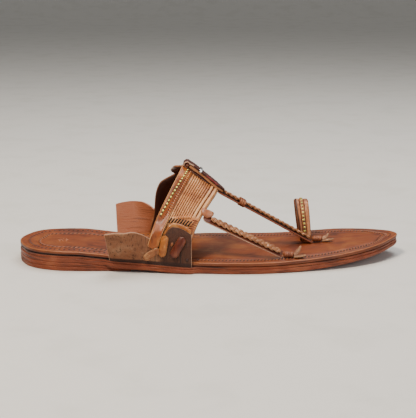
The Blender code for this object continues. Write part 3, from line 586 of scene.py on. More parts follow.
@dataclass(frozen=True)
class Leather:
    """Vegetable-tanned leather, cut, stained and burnished by hand: uneven dye, fine grain, drawn-out fibres.

    Attributes:
        name: Material's name.
        colour: Dye where it is even.
        shade: Darker patches, where the leather took more dye.
        glow: Lighter patches, where it is rubbed.
        inner: Colour of the inner face.
        cut: Colour of the raw cut edge; on the insole it is a painted highlight along the rounded upper edge.
        groove: Colour painted where the groove mark is set: the dark of tooled lines, and painted shade in grooves and
            joints.
        roughness: Roughness of the face.
        grain: Size of a pore, in metres.
        blotch: Size of a patch, in metres.
        fibre: Length, breadth and height of a fibre streak, in metres.
        fibre_share: Strength of the streaks.
        bump: Depth of grain and streaks, in metres.
        coat: Wax polish.
        patchy: Strength of the patches.
        front: X where another colour begins, and how far the change takes.
        front_colour: That colour.
    """

    name: str
    colour: str
    shade: str
    glow: str
    inner: str
    cut: str
    groove: str = "#2A120A"
    roughness: float = 0.55
    grain: float = 0.0007
    blotch: float = 0.016
    fibre: tuple[float, float, float] = (0.012, 0.003, 0.0009)
    fibre_share: float = 0.45
    bump: float = 0.00012
    coat: float = 0.05
    patchy: float = 0.75
    front: tuple[float, float] | None = None
    front_colour: str = "#000000"

    def make(self) -> bpy.types.Material:
        """Builds the material.

        Returns:
            The material.
        """
        mat = bpy.data.materials.new(self.name)
        mat.use_nodes = True
        tree = mat.node_tree
        shader = tree.nodes["Principled BSDF"]
        place = add_node(tree, "ShaderNodeTexCoord").outputs["Object"]
        patches = add_node(tree, "ShaderNodeTexNoise", None, Vector=place, Scale=1 / self.blotch, Detail=5.0,
                           Roughness=0.6, Distortion=0.4).outputs[0]
        stretched = add_node(tree, "ShaderNodeMapping", None, Vector=place,
                             Scale=tuple(1 / size for size in self.fibre)).outputs[0]
        streaks = add_node(tree, "ShaderNodeTexNoise", None, Vector=stretched, Scale=1.0, Detail=2.5,
                           Roughness=0.65, Distortion=0.12).outputs[0]
        pores = add_node(tree, "ShaderNodeTexVoronoi", {"feature": "F1"}, Vector=place,
                         Scale=1 / self.grain, Randomness=1.0).outputs[0]
        dye = Dye(tree, self.colour)
        dye.over(ramp(tree, patches, 0.50, 0.68, self.patchy), self.shade)
        dye.over(ramp(tree, patches, 0.50, 0.32, self.patchy * 0.85), self.glow)
        if self.front:
            axes = add_node(tree, "ShaderNodeSeparateXYZ", None, i0=place).outputs
            wander = add_node(tree, "ShaderNodeMath", {"operation": "MULTIPLY_ADD"}, i0=patches, i1=0.004,
                              i2=axes[0]).outputs[0]
            dye.over(ramp(tree, wander, self.front[0], self.front[0] + self.front[1], 0.9), self.front_colour)
        inside = add_node(tree, "ShaderNodeAttribute", {"attribute_name": "inside"}).outputs[2]
        dye.over(inside, self.inner)
        dye.over(ramp(tree, streaks, 0.52, 0.72, self.fibre_share), self.shade, "MULTIPLY")
        dye.over(ramp(tree, streaks, 0.44, 0.28, self.fibre_share), self.glow, "SOFT_LIGHT")
        groove = add_node(tree, "ShaderNodeAttribute", {"attribute_name": "groove"}).outputs[2]
        dye.over(ramp(tree, groove, -0.1, -0.9, 0.7), self.glow)
        # Groove mark: dark of tooled lines, and painted shade in grooves and joints
        dye.over(ramp(tree, groove, 0.15, 0.9, 0.92), self.groove)
        rim = add_node(tree, "ShaderNodeAttribute", {"attribute_name": "rim"}).outputs[2]
        # Rim mark: the cut edge's colour; on the insole a painted highlight, on the crest painted shade
        dye.over(product(tree, ramp(tree, rim, 0.25, 0.75, 0.85), ramp(tree, patches, 0.2, 0.5)), self.cut)
        tree.links.new(dye.out, shader.inputs["Base Color"])
        height = add_node(tree, "ShaderNodeMath", {"operation": "MULTIPLY_ADD"}, i0=streaks, i1=1.4,
                          i2=product(tree, pores, 0.7)).outputs[0]
        bumps = add_node(tree, "ShaderNodeBump", None, Height=height, Strength=0.9, Distance=self.bump)
        tree.links.new(bumps.outputs[0], shader.inputs["Normal"])
        gloss = add_node(tree, "ShaderNodeMapRange", None, Value=patches, From_Min=0.3, From_Max=0.7,
                         To_Min=self.roughness - 0.08, To_Max=self.roughness + 0.10).outputs[0]
        tree.links.new(gloss, shader.inputs["Roughness"])
        shader.inputs["IOR"].default_value = 1.4
        shader.inputs["Coat Weight"].default_value = self.coat
        shader.inputs["Coat Roughness"].default_value = 0.3
        return mat


@dataclass(frozen=True)
class Trim:
    """Small bright or dark trim: gilt foil, waxed thread, nickel silver.

    Attributes:
        name: Material's name.
        colour: Main colour.
        shade: Colour of its tarnish or of its shadowed fibres.
        roughness: Roughness of the face.
        metallic: 1 for metal.
        grain: Size of the pattern, in metres.
        bump: Depth of the pattern, in metres.
    """

    name: str
    colour: str
    shade: str
    roughness: float
    metallic: float = 0.0
    grain: float = 0.0008
    bump: float = 0.00005

    def make(self) -> bpy.types.Material:
        """Builds the material.

        Returns:
            The material.
        """
        mat = bpy.data.materials.new(self.name)
        mat.use_nodes = True
        tree = mat.node_tree
        shader = tree.nodes["Principled BSDF"]
        place = add_node(tree, "ShaderNodeTexCoord").outputs["Object"]
        spots = add_node(tree, "ShaderNodeTexNoise", None, Vector=place, Scale=1 / self.grain, Detail=3.0,
                         Roughness=0.6).outputs[0]
        dye = Dye(tree, self.colour)
        dye.over(ramp(tree, spots, 0.48, 0.66, 0.8), self.shade)
        tree.links.new(dye.out, shader.inputs["Base Color"])
        bumps = add_node(tree, "ShaderNodeBump", None, Height=spots, Strength=0.8, Distance=self.bump)
        tree.links.new(bumps.outputs[0], shader.inputs["Normal"])
        shader.inputs["Roughness"].default_value = self.roughness
        shader.inputs["Metallic"].default_value = self.metallic
        return mat


# Sole leather, stained chestnut and wax-polished: long pull marks run to the toe; a painted highlight runs along its
# rounded upper edge, and painted shade lies on its side wall and lower edge
INSOLE_LEATHER = Leather("vegetable_tanned_insole", "#7A3912", "#4F200C", "#985824", "#6A3320", "#9C5C30",
                         "#2A1008", 0.46, 0.0009, 0.020, (0.030, 0.004, 0.004), 0.5, 0.00010, 0.12)
# Edge of the layers: the fibres of the stacked leather show as level streaks; its groove colour is the painted shade
# in the joint under the insole
EDGE_LEATHER = Leather("stacked_leather_edge", "#7E3B1D", "#3A160B", "#B26A40", "#5A2A18", "#A4602F",
                       "#140804", 0.45, 0.0006, 0.014, (0.034, 0.034, 0.0013), 1.0, 0.00045, 0.06, 0.3)
# Band leather: light golden tan, with painted shade in the grooves between strips; dark brown inside, with the shade
# inside the band painted in too
# The inner colour is the lining's dark brown with the shade inside the band painted in
BAND_LEATHER = Leather("golden_tan_band", "#C2804C", "#86451F", "#E6B27E", "#34140A", "#80492A",
                       "#3A190D", 0.42, 0.0006, 0.012, (0.003, 0.003, 0.012), 0.4, 0.00010, 0.12)
STRAP_LEATHER = Leather("burnished_rear_strap", "#8A440F", "#5E2B0A", "#CC8238", "#4A2012", "#D8A670",
                        "#2A120A", 0.40, 0.0007, 0.014, (0.004, 0.004, 0.016), 0.5, 0.00010, 0.12)
# Ear: flesh side out, greyish brown with upright scrape marks; grain side in, pinkish tan with level creases
EAR_LEATHER = Leather("split_ear_leather", "#855538", "#4E2E1B", "#B08A66", "#A5623E", "#B58F74",
                      "#2A120A", 0.68, 0.0006, 0.012, (0.0013, 0.0013, 0.030), 0.80, 0.00030, 0.0,
                      0.45, (0.068, 0.006), "#341506")
FAR_EAR_LEATHER = Leather("grained_ear_leather", "#855538", "#553420", "#A87F5B", "#9A5734", "#C78F78",
                          "#2A120A", 0.55, 0.0006, 0.014, (0.016, 0.016, 0.0010), 0.55, 0.00022, 0.02,
                          0.5, (0.068, 0.006), "#341506")
RED_THONG_LEATHER = Leather("red_thong", "#58200A", "#361005", "#82421E", "#4A200F", "#9C5830",
                            "#2A120A", 0.36, 0.0006, 0.006, (0.002, 0.002, 0.008), 0.4, 0.00008, 0.15)
WEDGE_LEATHER = Leather("pale_thong", "#854F2B", "#5A3018", "#B58455", "#6A3D20", "#CFA37A",
                        "#2A120A", 0.48, 0.0006, 0.005, (0.008, 0.002, 0.001), 0.6, 0.00012, 0.05)
THONG_LEATHER = Leather("golden_thong", "#9C5A20", "#733B13", "#C38A4B", "#7A4020", "#C8925C",
                        "#3A190D", 0.36, 0.0006, 0.006, (0.002, 0.002, 0.008), 0.4, 0.00008, 0.15)
TOE_LEATHER = Leather("toe_loop_strap", "#B07045", "#743C1E", "#D8A076", "#4A2012", "#6A3A22",
                      "#2A0F07", 0.44, 0.0006, 0.008, (0.003, 0.003, 0.010), 0.5, 0.00010, 0.08)
TIP_LEATHER = Leather("thong_tips", "#86583A", "#4E2A17", "#BC9068", "#5A3522", "#BC9068",
                      "#2A120A", 0.52, 0.0005, 0.004, (0.004, 0.001, 0.001), 0.6, 0.00010, 0.03)
CORE_LEATHER = Leather("crest_core", "#A8683F", "#6A3519", "#D0976A", "#6A3519", "#B07848",
                       "#2A120A", 0.45, 0.0006, 0.008, (0.010, 0.002, 0.002), 0.5, 0.00008, 0.1)
# Pale rods along the edges of the crest's curl
EDGING_LEATHER = Leather("pale_curl_edge", "#C9A184", "#94684A", "#E6CDB6", "#94684A", "#E6CDB6",
                         "#2A120A", 0.45, 0.0006, 0.004, (0.004, 0.002, 0.002), 0.4, 0.00006, 0.1)
TAB_LEATHER = Leather("buttoned_tab", "#A0613F", "#602A14", "#C99270", "#6A3018", "#CF9468",
                      "#2A120A", 0.36, 0.0006, 0.006, (0.004, 0.002, 0.002), 0.4, 0.00008, 0.15)
# Plaited goat thong: pinkish tan, matt
BRAID_LEATHER = Leather("plaited_goat_thong", "#94603A", "#5C3019", "#C0906A", "#6A3F2A", "#C8976B",
                        "#2A120A", 0.50, 0.0005, 0.004, (0.0015, 0.0006, 0.0015), 0.5, 0.00008, 0.05)
BACKING_LEATHER = Leather("reddish_backing", "#83401F", "#4C1C0D", "#B87A4C", "#5A2314", "#B97E54",
                          "#2A120A", 0.48, 0.0006, 0.008, (0.010, 0.003, 0.003), 0.4, 0.00008, 0.08)
KEEPER_LEATHER = Leather("wrapped_keeper", "#7E4425", "#4A200F", "#B5784E", "#5A2314", "#C58E66",
                         "#2A120A", 0.50, 0.0005, 0.004, (0.002, 0.001, 0.002), 0.5, 0.00008, 0.05)
# Straps under the plaits: the dark face is painted shade under the plait; the pale and red cut edges are the straps'
# own colour
PALE_EDGED_LEATHER = Leather("pale_edged_strap", "#5A2814", "#361409", "#87502F", "#5A2314", "#D6AE92",
                             "#2A120A", 0.50, 0.0006, 0.008, (0.010, 0.003, 0.003), 0.4, 0.00008, 0.05)
DARK_STRAP_LEATHER = Leather("red_edged_strap", "#4A1E0F", "#2A0F07", "#7A4426", "#5A2314", "#A05A38",
                             "#2A120A", 0.50, 0.0006, 0.008, (0.010, 0.003, 0.003), 0.4, 0.00008, 0.05)
# Crest: dark leather; its cut edge is painted darker still, as the shade in the gap under the flap
CREST_LEATHER = Leather("dark_crest", "#52261A", "#2A0F09", "#8A5A3C", "#4A2014", "#34160C",
                        "#1C0C07", 0.40, 0.0006, 0.008, (0.008, 0.003, 0.003), 0.4, 0.00008, 0.15)
GILT = Trim("gilt_foil", "#D2C766", "#7E8A34", 0.32, 0.5, 0.0016)
# Dark thread; the same dark is painted as shade in the slits between gilt pieces
DARK_THREAD_AND_SLIT_SHADE = Trim("dark_thread_and_slit_shade", "#34150B", "#180904", 0.6)
# Slot: painted shade, near-black beads for the unlit hollow under the lacing
HOLLOW = Trim("slot_hollow", "#150804", "#0A0402", 0.9)
TAN_THREAD = Trim("tan_lacing", "#D09A6C", "#94603C", 0.55)
INSOLE_LACE = Trim("chestnut_lacing", "#9A5730", "#6A3619", 0.5)
RED_THREAD = Trim("madder_red_thread", "#A81E22", "#5C1010", 0.5)
NICKEL = Trim("nickel_silver", "#E4E6EA", "#A7ABB0", 0.18, 1.0, 0.0015, 0.00002)


class Finishes:
    """Materials in use, each made once."""

    made: dict[str, bpy.types.Material] = {}

    @classmethod
    def get(cls, finish: Leather | Trim) -> bpy.types.Material:
        """Material of a finish.

        Args:
            finish: Leather or trim.

        Returns:
            Its material.
        """
        if finish.name not in cls.made:
            cls.made[finish.name] = finish.make()
        return cls.made[finish.name]


class Bench:
    """Workbench: shapes pieces with Blender's tools and hands them to the frame."""

    @staticmethod
    def select(*objects: bpy.types.Object) -> None:
        """Selects these objects alone; the first one is active."""
        bpy.ops.object.select_all(action="DESELECT")
        for obj in objects:
            obj.select_set(True)
        bpy.context.view_layer.objects.active = objects[0]

    @staticmethod
    def close(obj: bpy.types.Object) -> None:
        """Welds seams and poles, fills open ends and turns faces outwards.

        Args:
            obj: Piece to close.
        """
        Bench.select(obj)
        bpy.ops.object.mode_set(mode="EDIT")
        bpy.ops.mesh.select_all(action="SELECT")
        bpy.ops.mesh.remove_doubles(threshold=1e-6)
        bpy.ops.mesh.select_all(action="SELECT")
        bpy.ops.mesh.fill_holes(sides=0)
        bpy.ops.mesh.select_all(action="SELECT")
        bpy.ops.mesh.normals_make_consistent(inside=False)
        bpy.ops.object.mode_set(mode="OBJECT")

    @staticmethod
    def lay(name: str, columns: int, rows: int, spot: Callable[[int, int], Vector],
            marks: dict[str, Callable[[int, int], float]] | None = None) -> bpy.types.Object:
        """Adds a flat grid and lays each of its points where a rule says.

        Args:
            name: Piece's name.
            columns: Steps along the grid.
            rows: Steps up the grid.
            spot: Place of a column and row.
            marks: Values stored on the points for the material, by name.

        Returns:
            The laid grid, not closed yet.
        """
        bpy.ops.object.select_all(action="DESELECT")
        bpy.ops.mesh.primitive_grid_add(x_subdivisions=columns, y_subdivisions=rows, size=2)
        obj = bpy.context.active_object
        obj.name = obj.data.name = name
        cells = [(round((v.co.x + 1) / 2 * columns), round((v.co.y + 1) / 2 * rows)) for v in obj.data.vertices]
        for key, rule in (marks or {}).items():
            layer = obj.data.attributes.new(key, "FLOAT", "POINT")
            layer.data.foreach_set("value", [rule(i, j) for i, j in cells])
        for v, (i, j) in zip(obj.data.vertices, cells):
            v.co = spot(i, j)
        return obj

    @staticmethod
    def apply(obj: bpy.types.Object, kind: str, **settings: Any) -> None:
        """Adds a modifier and applies it.

        Args:
            obj: Piece that gets it.
            kind: Modifier's type.
            settings: Its properties.
        """
        Bench.select(obj)
        modifier = obj.modifiers.new(kind.lower(), kind)
        for key, value in settings.items():
            setattr(modifier, key, value)
        bpy.ops.object.modifier_apply(modifier=modifier.name)

    @staticmethod
    def soften(obj: bpy.types.Object, levels: int = 1) -> None:
        """Rounds a piece by subdivision."""
        Bench.apply(obj, "SUBSURF", levels=levels, render_levels=levels)

    @staticmethod
    def slab(name: str, grid: list[list[Vector]], outer: Callable[[int, int], float],
             inner: Callable[[int, int], float], groove: Callable[[int, int], float] | None = None,
             rounding: float = 0.8) -> bpy.types.Object:
        """Piece of leather: a surface thickened both ways, with its borders rounded.

        Args:
            name: Piece's name.
            grid: Points of the middle surface, row by row.
            outer: Thickness outside a point of the grid.
            inner: Thickness inside it.
            groove: How much dark colour is painted on the outer face there, 0 to 1; on the band and the toe loop it is
                painted shade in the grooves.
            rounding: Reach of the rounded border, in half thicknesses.

        Returns:
            Closed piece with the marks inside, rim and groove.
        """
        last, wide = len(grid) - 1, len(grid[0]) - 1

        def facing(i: int, j: int) -> Vector:
            """Unit normal of the grid.

            Args:
                i: Row.
                j: Column.

            Returns:
                The normal.
            """
            along = grid[min(i + 1, last)][j] - grid[max(i - 1, 0)][j]
            across = grid[i][min(j + 1, wide)] - grid[i][max(j - 1, 0)]
            return along.cross(across).normalized()

        around = 2 * wide + 4

        def cell(k: int) -> tuple[int, int]:
            """Column of the grid and face (1 out, 0 rim, -1 in) of a step round the section.

            Args:
                k: Step round the section.

            Returns:
                Column and face.
            """
            k %= around
            if k <= wide:
                return k, 1
            if k == wide + 1:
                return wide, 0
            if k <= 2 * wide + 2:
                return 2 * wide + 2 - k, -1
            return 0, 0

        def spot(k: int, row: int) -> Vector:
            """Place of a step round the section and a row, with one more row at each end.

            Args:
                k: Step round the section.
                row: Row, with one more at each end.

            Returns:
                The place.
            """
            i = min(max(row - 1, 0), last)
            j, face = cell(k)
            p, n = grid[i][j], facing(i, j)
            squeeze, push = 1.0, Vector()
            if row in (0, last + 2):
                inward = grid[1][j] - grid[0][j] if row == 0 else grid[last - 1][j] - grid[last][j]
                push = inward.normalized() * -rounding * (outer(i, j) + inner(i, j)) / 2
                squeeze = 0.45
            if face == 0:
                neighbour = grid[i][j - 1] if j else grid[i][min(1, wide)]
                side = (p - neighbour).normalized() * rounding * (outer(i, j) + inner(i, j)) / 2
                return p + push + side * squeeze + n * (outer(i, j) - inner(i, j)) / 2
            return p + push + n * (outer(i, j) if face > 0 else -inner(i, j)) * squeeze

        def rim(k: int, row: int) -> float:
            """Rim mark: 1 on the borders."""
            return 1.0 if cell(k)[1] == 0 or row in (0, last + 2) else 0.0

        def inside(k: int, row: int) -> float:
            """Inside mark: 1 on the inner face."""
            return 1.0 if cell(k)[1] < 0 else 0.0

        def dark(k: int, row: int) -> float:
            """Groove mark of the outer face."""
            j, face = cell(k)
            return groove(min(max(row - 1, 0), last), j) if groove and face > 0 else 0.0

        obj = Bench.lay(name, around, last + 2, spot, {"rim": rim, "inside": inside, "groove": dark})
        Bench.close(obj)
        return obj

    @staticmethod
    def rod(name: str, path: list[Vector], radius: Callable[[int], tuple[float, float]], across: Vector,
            around: int = 8) -> bpy.types.Object:
        """Rounded thong along a path.

        Args:
            name: Piece's name.
            path: Points of its middle line.
            radius: Half width and half height at a point of the path.
            across: Direction that the width lies along.
            around: Points round the section.

        Returns:
            Closed piece.
        """
        last = len(path) - 1

        def spot(k: int, row: int) -> Vector:
            """Place of a step round the section, with its ends drawn in.

            Args:
                k: Step round the section.
                row: Row, with one more at each end.

            Returns:
                The place.
            """
            i = min(max(row - 1, 0), last)
            along = (path[min(i + 1, last)] - path[max(i - 1, 0)]).normalized()
            side = (across - along * across.dot(along)).normalized()
            up = along.cross(side)
            wide, high = radius(i)
            shrink = 0.5 if row in (0, last + 2) else 1.0
            push = along * high * 0.6 * (-1 if row == 0 else 1) if shrink < 1 else Vector()
            angle = 2 * math.pi * k / around
            return path[i] + push + (side * math.cos(angle) * wide + up * math.sin(angle) * high) * shrink

        obj = Bench.lay(name, around, last + 2, spot)
        Bench.close(obj)
        return obj

    @staticmethod
    def bead(length: float, width: float, height: float, segments: int = 8, rings: int = 5) -> bpy.types.Object:
        """Small rounded stitch or bead, long along X.

        Args:
            length: Size along X.
            width: Size along Y.
            height: Size along Z.
            segments: Faces round it.
            rings: Faces along it.

        Returns:
            Bead at the origin.
        """
        bpy.ops.object.select_all(action="DESELECT")
        bpy.ops.mesh.primitive_uv_sphere_add(segments=segments, ring_count=rings, radius=0.5)
        bpy.ops.object.mode_set(mode="EDIT")
        bpy.ops.transform.rotate(value=math.pi / 2, orient_axis="Y", center_override=(0, 0, 0))
        bpy.ops.transform.resize(value=(length, width, height))
        bpy.ops.object.mode_set(mode="OBJECT")
        return bpy.context.active_object

    @staticmethod
    def repeat(name: str, model: bpy.types.Object, frames: Sequence[Matrix]) -> bpy.types.Object:
        """Copies a modelled piece to many places and joins the copies.

        Args:
            name: Name of the joined piece.
            model: Piece modelled at the origin; it is used up.
            frames: Place and turn of each copy.

        Returns:
            The joined piece.
        """
        copies = []
        for matrix in frames:
            copy = model.copy()
            copy.data = model.data.copy()
            copy.data.transform(matrix)
            bpy.context.scene.collection.objects.link(copy)
            copies.append(copy)
        bpy.data.objects.remove(model)
        Bench.select(*copies)
        bpy.ops.object.join()
        obj = bpy.context.active_object
        obj.name = obj.data.name = name
        return obj

    @staticmethod
    def scatter(name: str, size: tuple[float, ...], frames: Sequence[Matrix], finish: Leather | Trim,
                slot: Slot) -> None:
        """Makes one finished piece of equal small beads, one in each frame.

        Args:
            name: Piece's name.
            size: Bead's length, width and height, then its segments and rings if they aren't the usual ones.
            frames: Place and turn of each bead.
            finish: Its finish.
            slot: The record's slot.
        """
        Bench.finish(Bench.repeat(name, Bench.bead(*size), frames), finish, slot)

    @staticmethod
    def join(name: str, parts: Sequence[bpy.types.Object]) -> bpy.types.Object:
        """Joins pieces into one.

        Args:
            name: Name of the joined piece.
            parts: Pieces to join.

        Returns:
            The joined piece.
        """
        Bench.select(*parts)
        bpy.ops.object.join()
        obj = bpy.context.active_object
        obj.name = obj.data.name = name
        return obj

    @staticmethod
    def finish(obj: bpy.types.Object, finish: Leather | Trim, slot: Slot, *nodes: str,
               angle: float = 50.0) -> bpy.types.Object:
        """Shades, dresses and hands a piece to the frame.

        Args:
            obj: Piece in place.
            finish: Its finish.
            slot: The record's slot; not used.
            nodes: Nodes of the frame that it stands for.
            angle: Edges sharper than this stay sharp, in degrees.

        Returns:
            The same piece.
        """
        Bench.select(obj)
        bpy.ops.object.shade_smooth_by_angle(angle=math.radians(angle))
        obj.data.materials.clear()
        obj.data.materials.append(Finishes.get(finish))
        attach(obj, BODY)
        if nodes:
            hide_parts(*nodes)
        LOG.info("%s: %d faces", obj.name, len(obj.data.polygons))
        return obj


def stand(at: Vector, along: Vector, up: Vector, turn: float = 0.0) -> Matrix:
    """Frame at a place, with X along a direction and Z up from the surface.

    Args:
        at: Origin of the frame.
        along: Direction of its X.
        up: Direction of its Z.
        turn: Turn of X about Z, in radians.

    Returns:
        The frame's matrix.
    """
    z = up.normalized()
    x = (along - z * along.dot(z)).normalized()
    y = z.cross(x)
    turned = Matrix((x, y, z)).transposed().to_4x4() @ Matrix.Rotation(turn, 4, "Z")
    return Matrix.Translation(at) @ turned


def upward(along: Vector, side: Vector) -> Vector:
    """Normal of two directions, turned so that it points up."""
    up = along.cross(side)
    return up if up.z > 0 else -up


def round_end(reach: float, count: int) -> list[float]:
    """Shares that crowd together over a half-round end."""
    return [reach * (1 - math.cos(math.pi / 2 * k / count)) for k in range(count)]


def narrowing(share: float, reach: float) -> float:
    """Share of the full width at a place of a half-round end."""
    return math.sqrt(max(0.0, 1 - (1 - min(1.0, share / reach)) ** 2))


def walk(path: Sequence[Vector], pitch: float) -> list[tuple[Vector, Vector]]:
    """Evenly spaced places along a path.

    Args:
        path: Points of the path.
        pitch: Distance between places.

    Returns:
        Place and direction of each.
    """
    result = []
    left = pitch / 2
    for a, b in zip(path, path[1:]):
        length = (b - a).length
        while left <= length and length > 0:
            result.append((a.lerp(b, left / length), (b - a).normalized()))
            left += pitch
        left -= length
    return result


@dataclass
class SoleStack:
    """Insole, middle layer, outsole and heel lifts, with the tooling of the insole.

    Attributes:
        stations: Steps along each edge.
        rounding: Radius of a layer's edge.
        groove_inset: Tooled lines' distances from the edge.
        groove_depth: Their depth.
        medial_scale: How much further in a tooled line runs on the medial side.
        stitch_pitch: Distance between stitches.
        oval_pitch: Distance between two equal ticks of the heel's oval.
        dot_pitch: Distance between pricked dots.
        ear_seat: How far the lower layers stand out round the foot of the ears.
        pressed: How far the stacked layers are pressed into the joints between them.
        stitches_from: Length share where the stitches of the forefoot begin.
        heel_to: Length share where the heel's tooling ends.
        stitch_inset: Distance of the stitches from the edge.
        dot_insets: Distances of the pricked dots from the two edges.
        oval_insets: Distances of the heel's oval from the two edges.
        dot_sink: How deep a dot lies under the face.
        oval_sink: How deep a tick of the oval lies under it.
        stitch: A stitch's length and width.
        dot: Size of a dot.
        tick: Size of a tick of the oval.
        petal: Size of a petal of the rosette.
        petals: Number of petals.
        rosette: Length share and Y of the rosette's middle, and how far the petals stand from it.
        wear: How far the edge of a layer is worn in and out.
    """

    stations: int = 130
    rounding: float = 0.0007
    groove_inset: tuple[float, ...] = (0.0042, 0.0104)
    groove_depth: float = 0.00035
    medial_scale: float = 1.35
    stitch_pitch: float = 0.0025
    oval_pitch: float = 0.0032
    dot_pitch: float = 0.0036
    ear_seat: float = 0.0026
    pressed: float = 0.00026
    stitches_from: float = 0.47
    heel_to: float = 0.36
    stitch_inset: float = 0.0074
    dot_insets: tuple[float, float] = (0.0060, 0.0080)
    oval_insets: tuple[float, float] = (0.0125, 0.0185)
    dot_sink: float = 0.00010
    oval_sink: float = 0.00006
    stitch: tuple[float, float] = (0.0038, 0.0013)
    dot: tuple[float, float, float] = (0.0018, 0.0027, 0.0008)
    tick: tuple[float, float, float] = (0.0036, 0.0014, 0.0014)
    petal: tuple[float, float, float] = (0.0030, 0.0013, 0.0012)
    petals: int = 8
    rosette: tuple[float, float, float] = (0.115, -0.001, 0.0030)
    wear: float = 0.00022

    def layer(self, name: str, bottom: Callable[[float], float], top: Callable[[float], float],
              finish: Leather, last: float = 1.0, inset: float = 0.0, tooled: bool = False,
              rounding: float = 0.0003, flare: float = 0.0, joint_shade: float = 0.0) -> None:
        """One layer of leather with a burnished, slightly bellied edge.

        Args:
            name: Node that the layer stands for.
            bottom: Height of its underside at X.
            top: Height of its upper face at X.
            finish: Its leather.
            last: Share of the length where it ends.
            inset: How far its edge stands back.
            tooled: Whether grooves run round its upper face.
            rounding: Radius of its edges.
            flare: How far its edge stands out round the foot of the ears.
            joint_shade: Darkness of the painted shade along its upper edge, or its lower one if it is tooled, where it
                meets the next layer.
        """
        loop = SOLE.loop(self.stations, last)
        r = rounding
        half = [(0.5, 0.0), (0.03, 0.0), (r * 1.6, 0.0), (r * 0.9, 0.02), (r * 0.3, 0.09), (0.0, 0.22)]
        wall = [(0.0, 0.36), (0.00006, 0.5), (0.0, 0.64)]
        rows = [(d, t, 0.0, 0.0) for d, t in half + wall] + [(d, 1 - t, 0.0, 0.0) for d, t in reversed(half[2:])]
        if tooled:
            for line in self.groove_inset:
                rows += [(line - 0.0009, 1.0, 0.0, 0.0), (line - 0.0004, 1.0, -0.6, 0.7), (line, 1.0, -1.0, 1.0),
                         (line + 0.0004, 1.0, -0.6, 0.7), (line + 0.0009, 1.0, 0.0, 0.0)]
        rows += [(d, 1.0, 0.0, 0.0) for d in (0.016, 0.022, 0.5)]
        joint_shade_rows = range(2, 6) if tooled else range(9, 13)
        spines = [SOLE.spine(p, last) for p in loop]
        count = len(loop)

        def spot(i: int, j: int) -> Vector:
            """Place on the ring of a row.

            Args:
                i: Point of the outline.
                j: Row.

            Returns:
                The place.
            """
            p, middle = loop[i % count], spines[i % count]
            d, t, sink, _ = rows[j]
            way = middle - p
            if tooled and d > 0.002:
                d *= mix(1.0, self.medial_scale, ease((p.y - middle.y) / SOLE.breadth, -0.25, 0.25))
            share = SOLE.share(p.x)
            out = flare * ease(share, 0.232, 0.252) * (1 - ease(share, 0.448, 0.468))
            uneven = noise.noise(Vector((p.x * 90, p.y * 90, bottom(p.x) * 400 + t * 1.5)))
            worn = self.wear * uneven if d < 0.003 else 0.0
            q = p + way * min(1.0, (d + inset + worn - out * ease(d, 0.012, 0.002)) / max(way.length, 1e-9))
            return Vector((q.x, q.y, mix(bottom(q.x), top(q.x), t) + sink * self.groove_depth))

        def groove(i: int, j: int) -> float:
            """Groove mark of a row.

            Args:
                i: Point of the outline.
                j: Row.

            Returns:
                Darkness of the mark.
            """
            # Painted shade in the joint between insole and midsole, darkest towards the heel
            if j in joint_shade_rows:
                return joint_shade * mix(0.25, 1.0, ease(loop[i % count].x, 0.12, 0.07))
            # Painted shade: the insole's side wall is darkened
            if tooled and 6 <= j <= 9:
                return 0.42
            return rows[j][3] * mix(0.30, 0.75, ease(loop[i % count].x, 0.06, 0.10))

        def rim(i: int, j: int) -> float:
            """Rim mark: painted highlight along the rounded edge of the upper face."""
            return 1.0 if tooled and rows[j][1] > 0.85 and rows[j][0] < 0.0010 else 0.0

        obj = Bench.lay(name + "_leather", count, len(rows) - 1, spot, {"groove": groove, "rim": rim})
        Bench.close(obj)
        Bench.finish(obj, finish, Slot.SOLE, name, angle=35.0)

    def tooling(self) -> None:
        """Stitches, dots and the plaited oval tooled into the insole."""
        up = Vector((0, 0, 1))
        band_end, heel_end = SOLE.place(self.stitches_from), SOLE.place(self.heel_to)
        row = SOLE.ring(self.stitch_inset, self.stitch_inset * self.medial_scale)
        for word, shift, high, finish in (("dark", 0.0, 0.0012, DARK_THREAD_AND_SLIT_SHADE),
                                          ("light", self.stitch_pitch / 2, 0.0014, INSOLE_LACE)):
            frames = [stand(p + t * shift, t, up, math.radians(50)) for p, t in walk(row, self.stitch_pitch)
                      if p.x > band_end]
            Bench.scatter("insole_stitches_" + word, (*self.stitch, high), frames, finish, Slot.SOLE)
        dots = [stand(p - up * self.dot_sink, t, up) for p, t in walk(SOLE.ring(*self.dot_insets), self.dot_pitch)
                if p.x < heel_end]
        Bench.scatter("heel_dots", self.dot, dots, DARK_THREAD_AND_SLIT_SHADE, Slot.SOLE)
        for word, shift, finish in (("light", 0.0, INSOLE_LACE), ("dark", self.oval_pitch / 2, DARK_THREAD_AND_SLIT_SHADE)):
            places = [stand(p + t * shift - up * self.oval_sink, t, up, math.radians(35))
                      for p, t in walk(SOLE.ring(*self.oval_insets), self.oval_pitch) if p.x < heel_end]
            Bench.scatter("heel_oval_" + word, self.tick, places, finish, Slot.SOLE)
        petals = []
        share, y, radius = self.rosette
        for k in range(self.petals):
            angle = 2 * math.pi / self.petals * k
            way = Vector((math.cos(angle), math.sin(angle), 0))
            spot = Vector((SOLE.place(share), y, 0)) + way * radius
            spot.z = SOLE.insole_top(spot.x)
            petals.append(stand(spot, way, up))
        Bench.scatter("heel_rosette", self.petal, petals, INSOLE_LACE, Slot.SOLE)

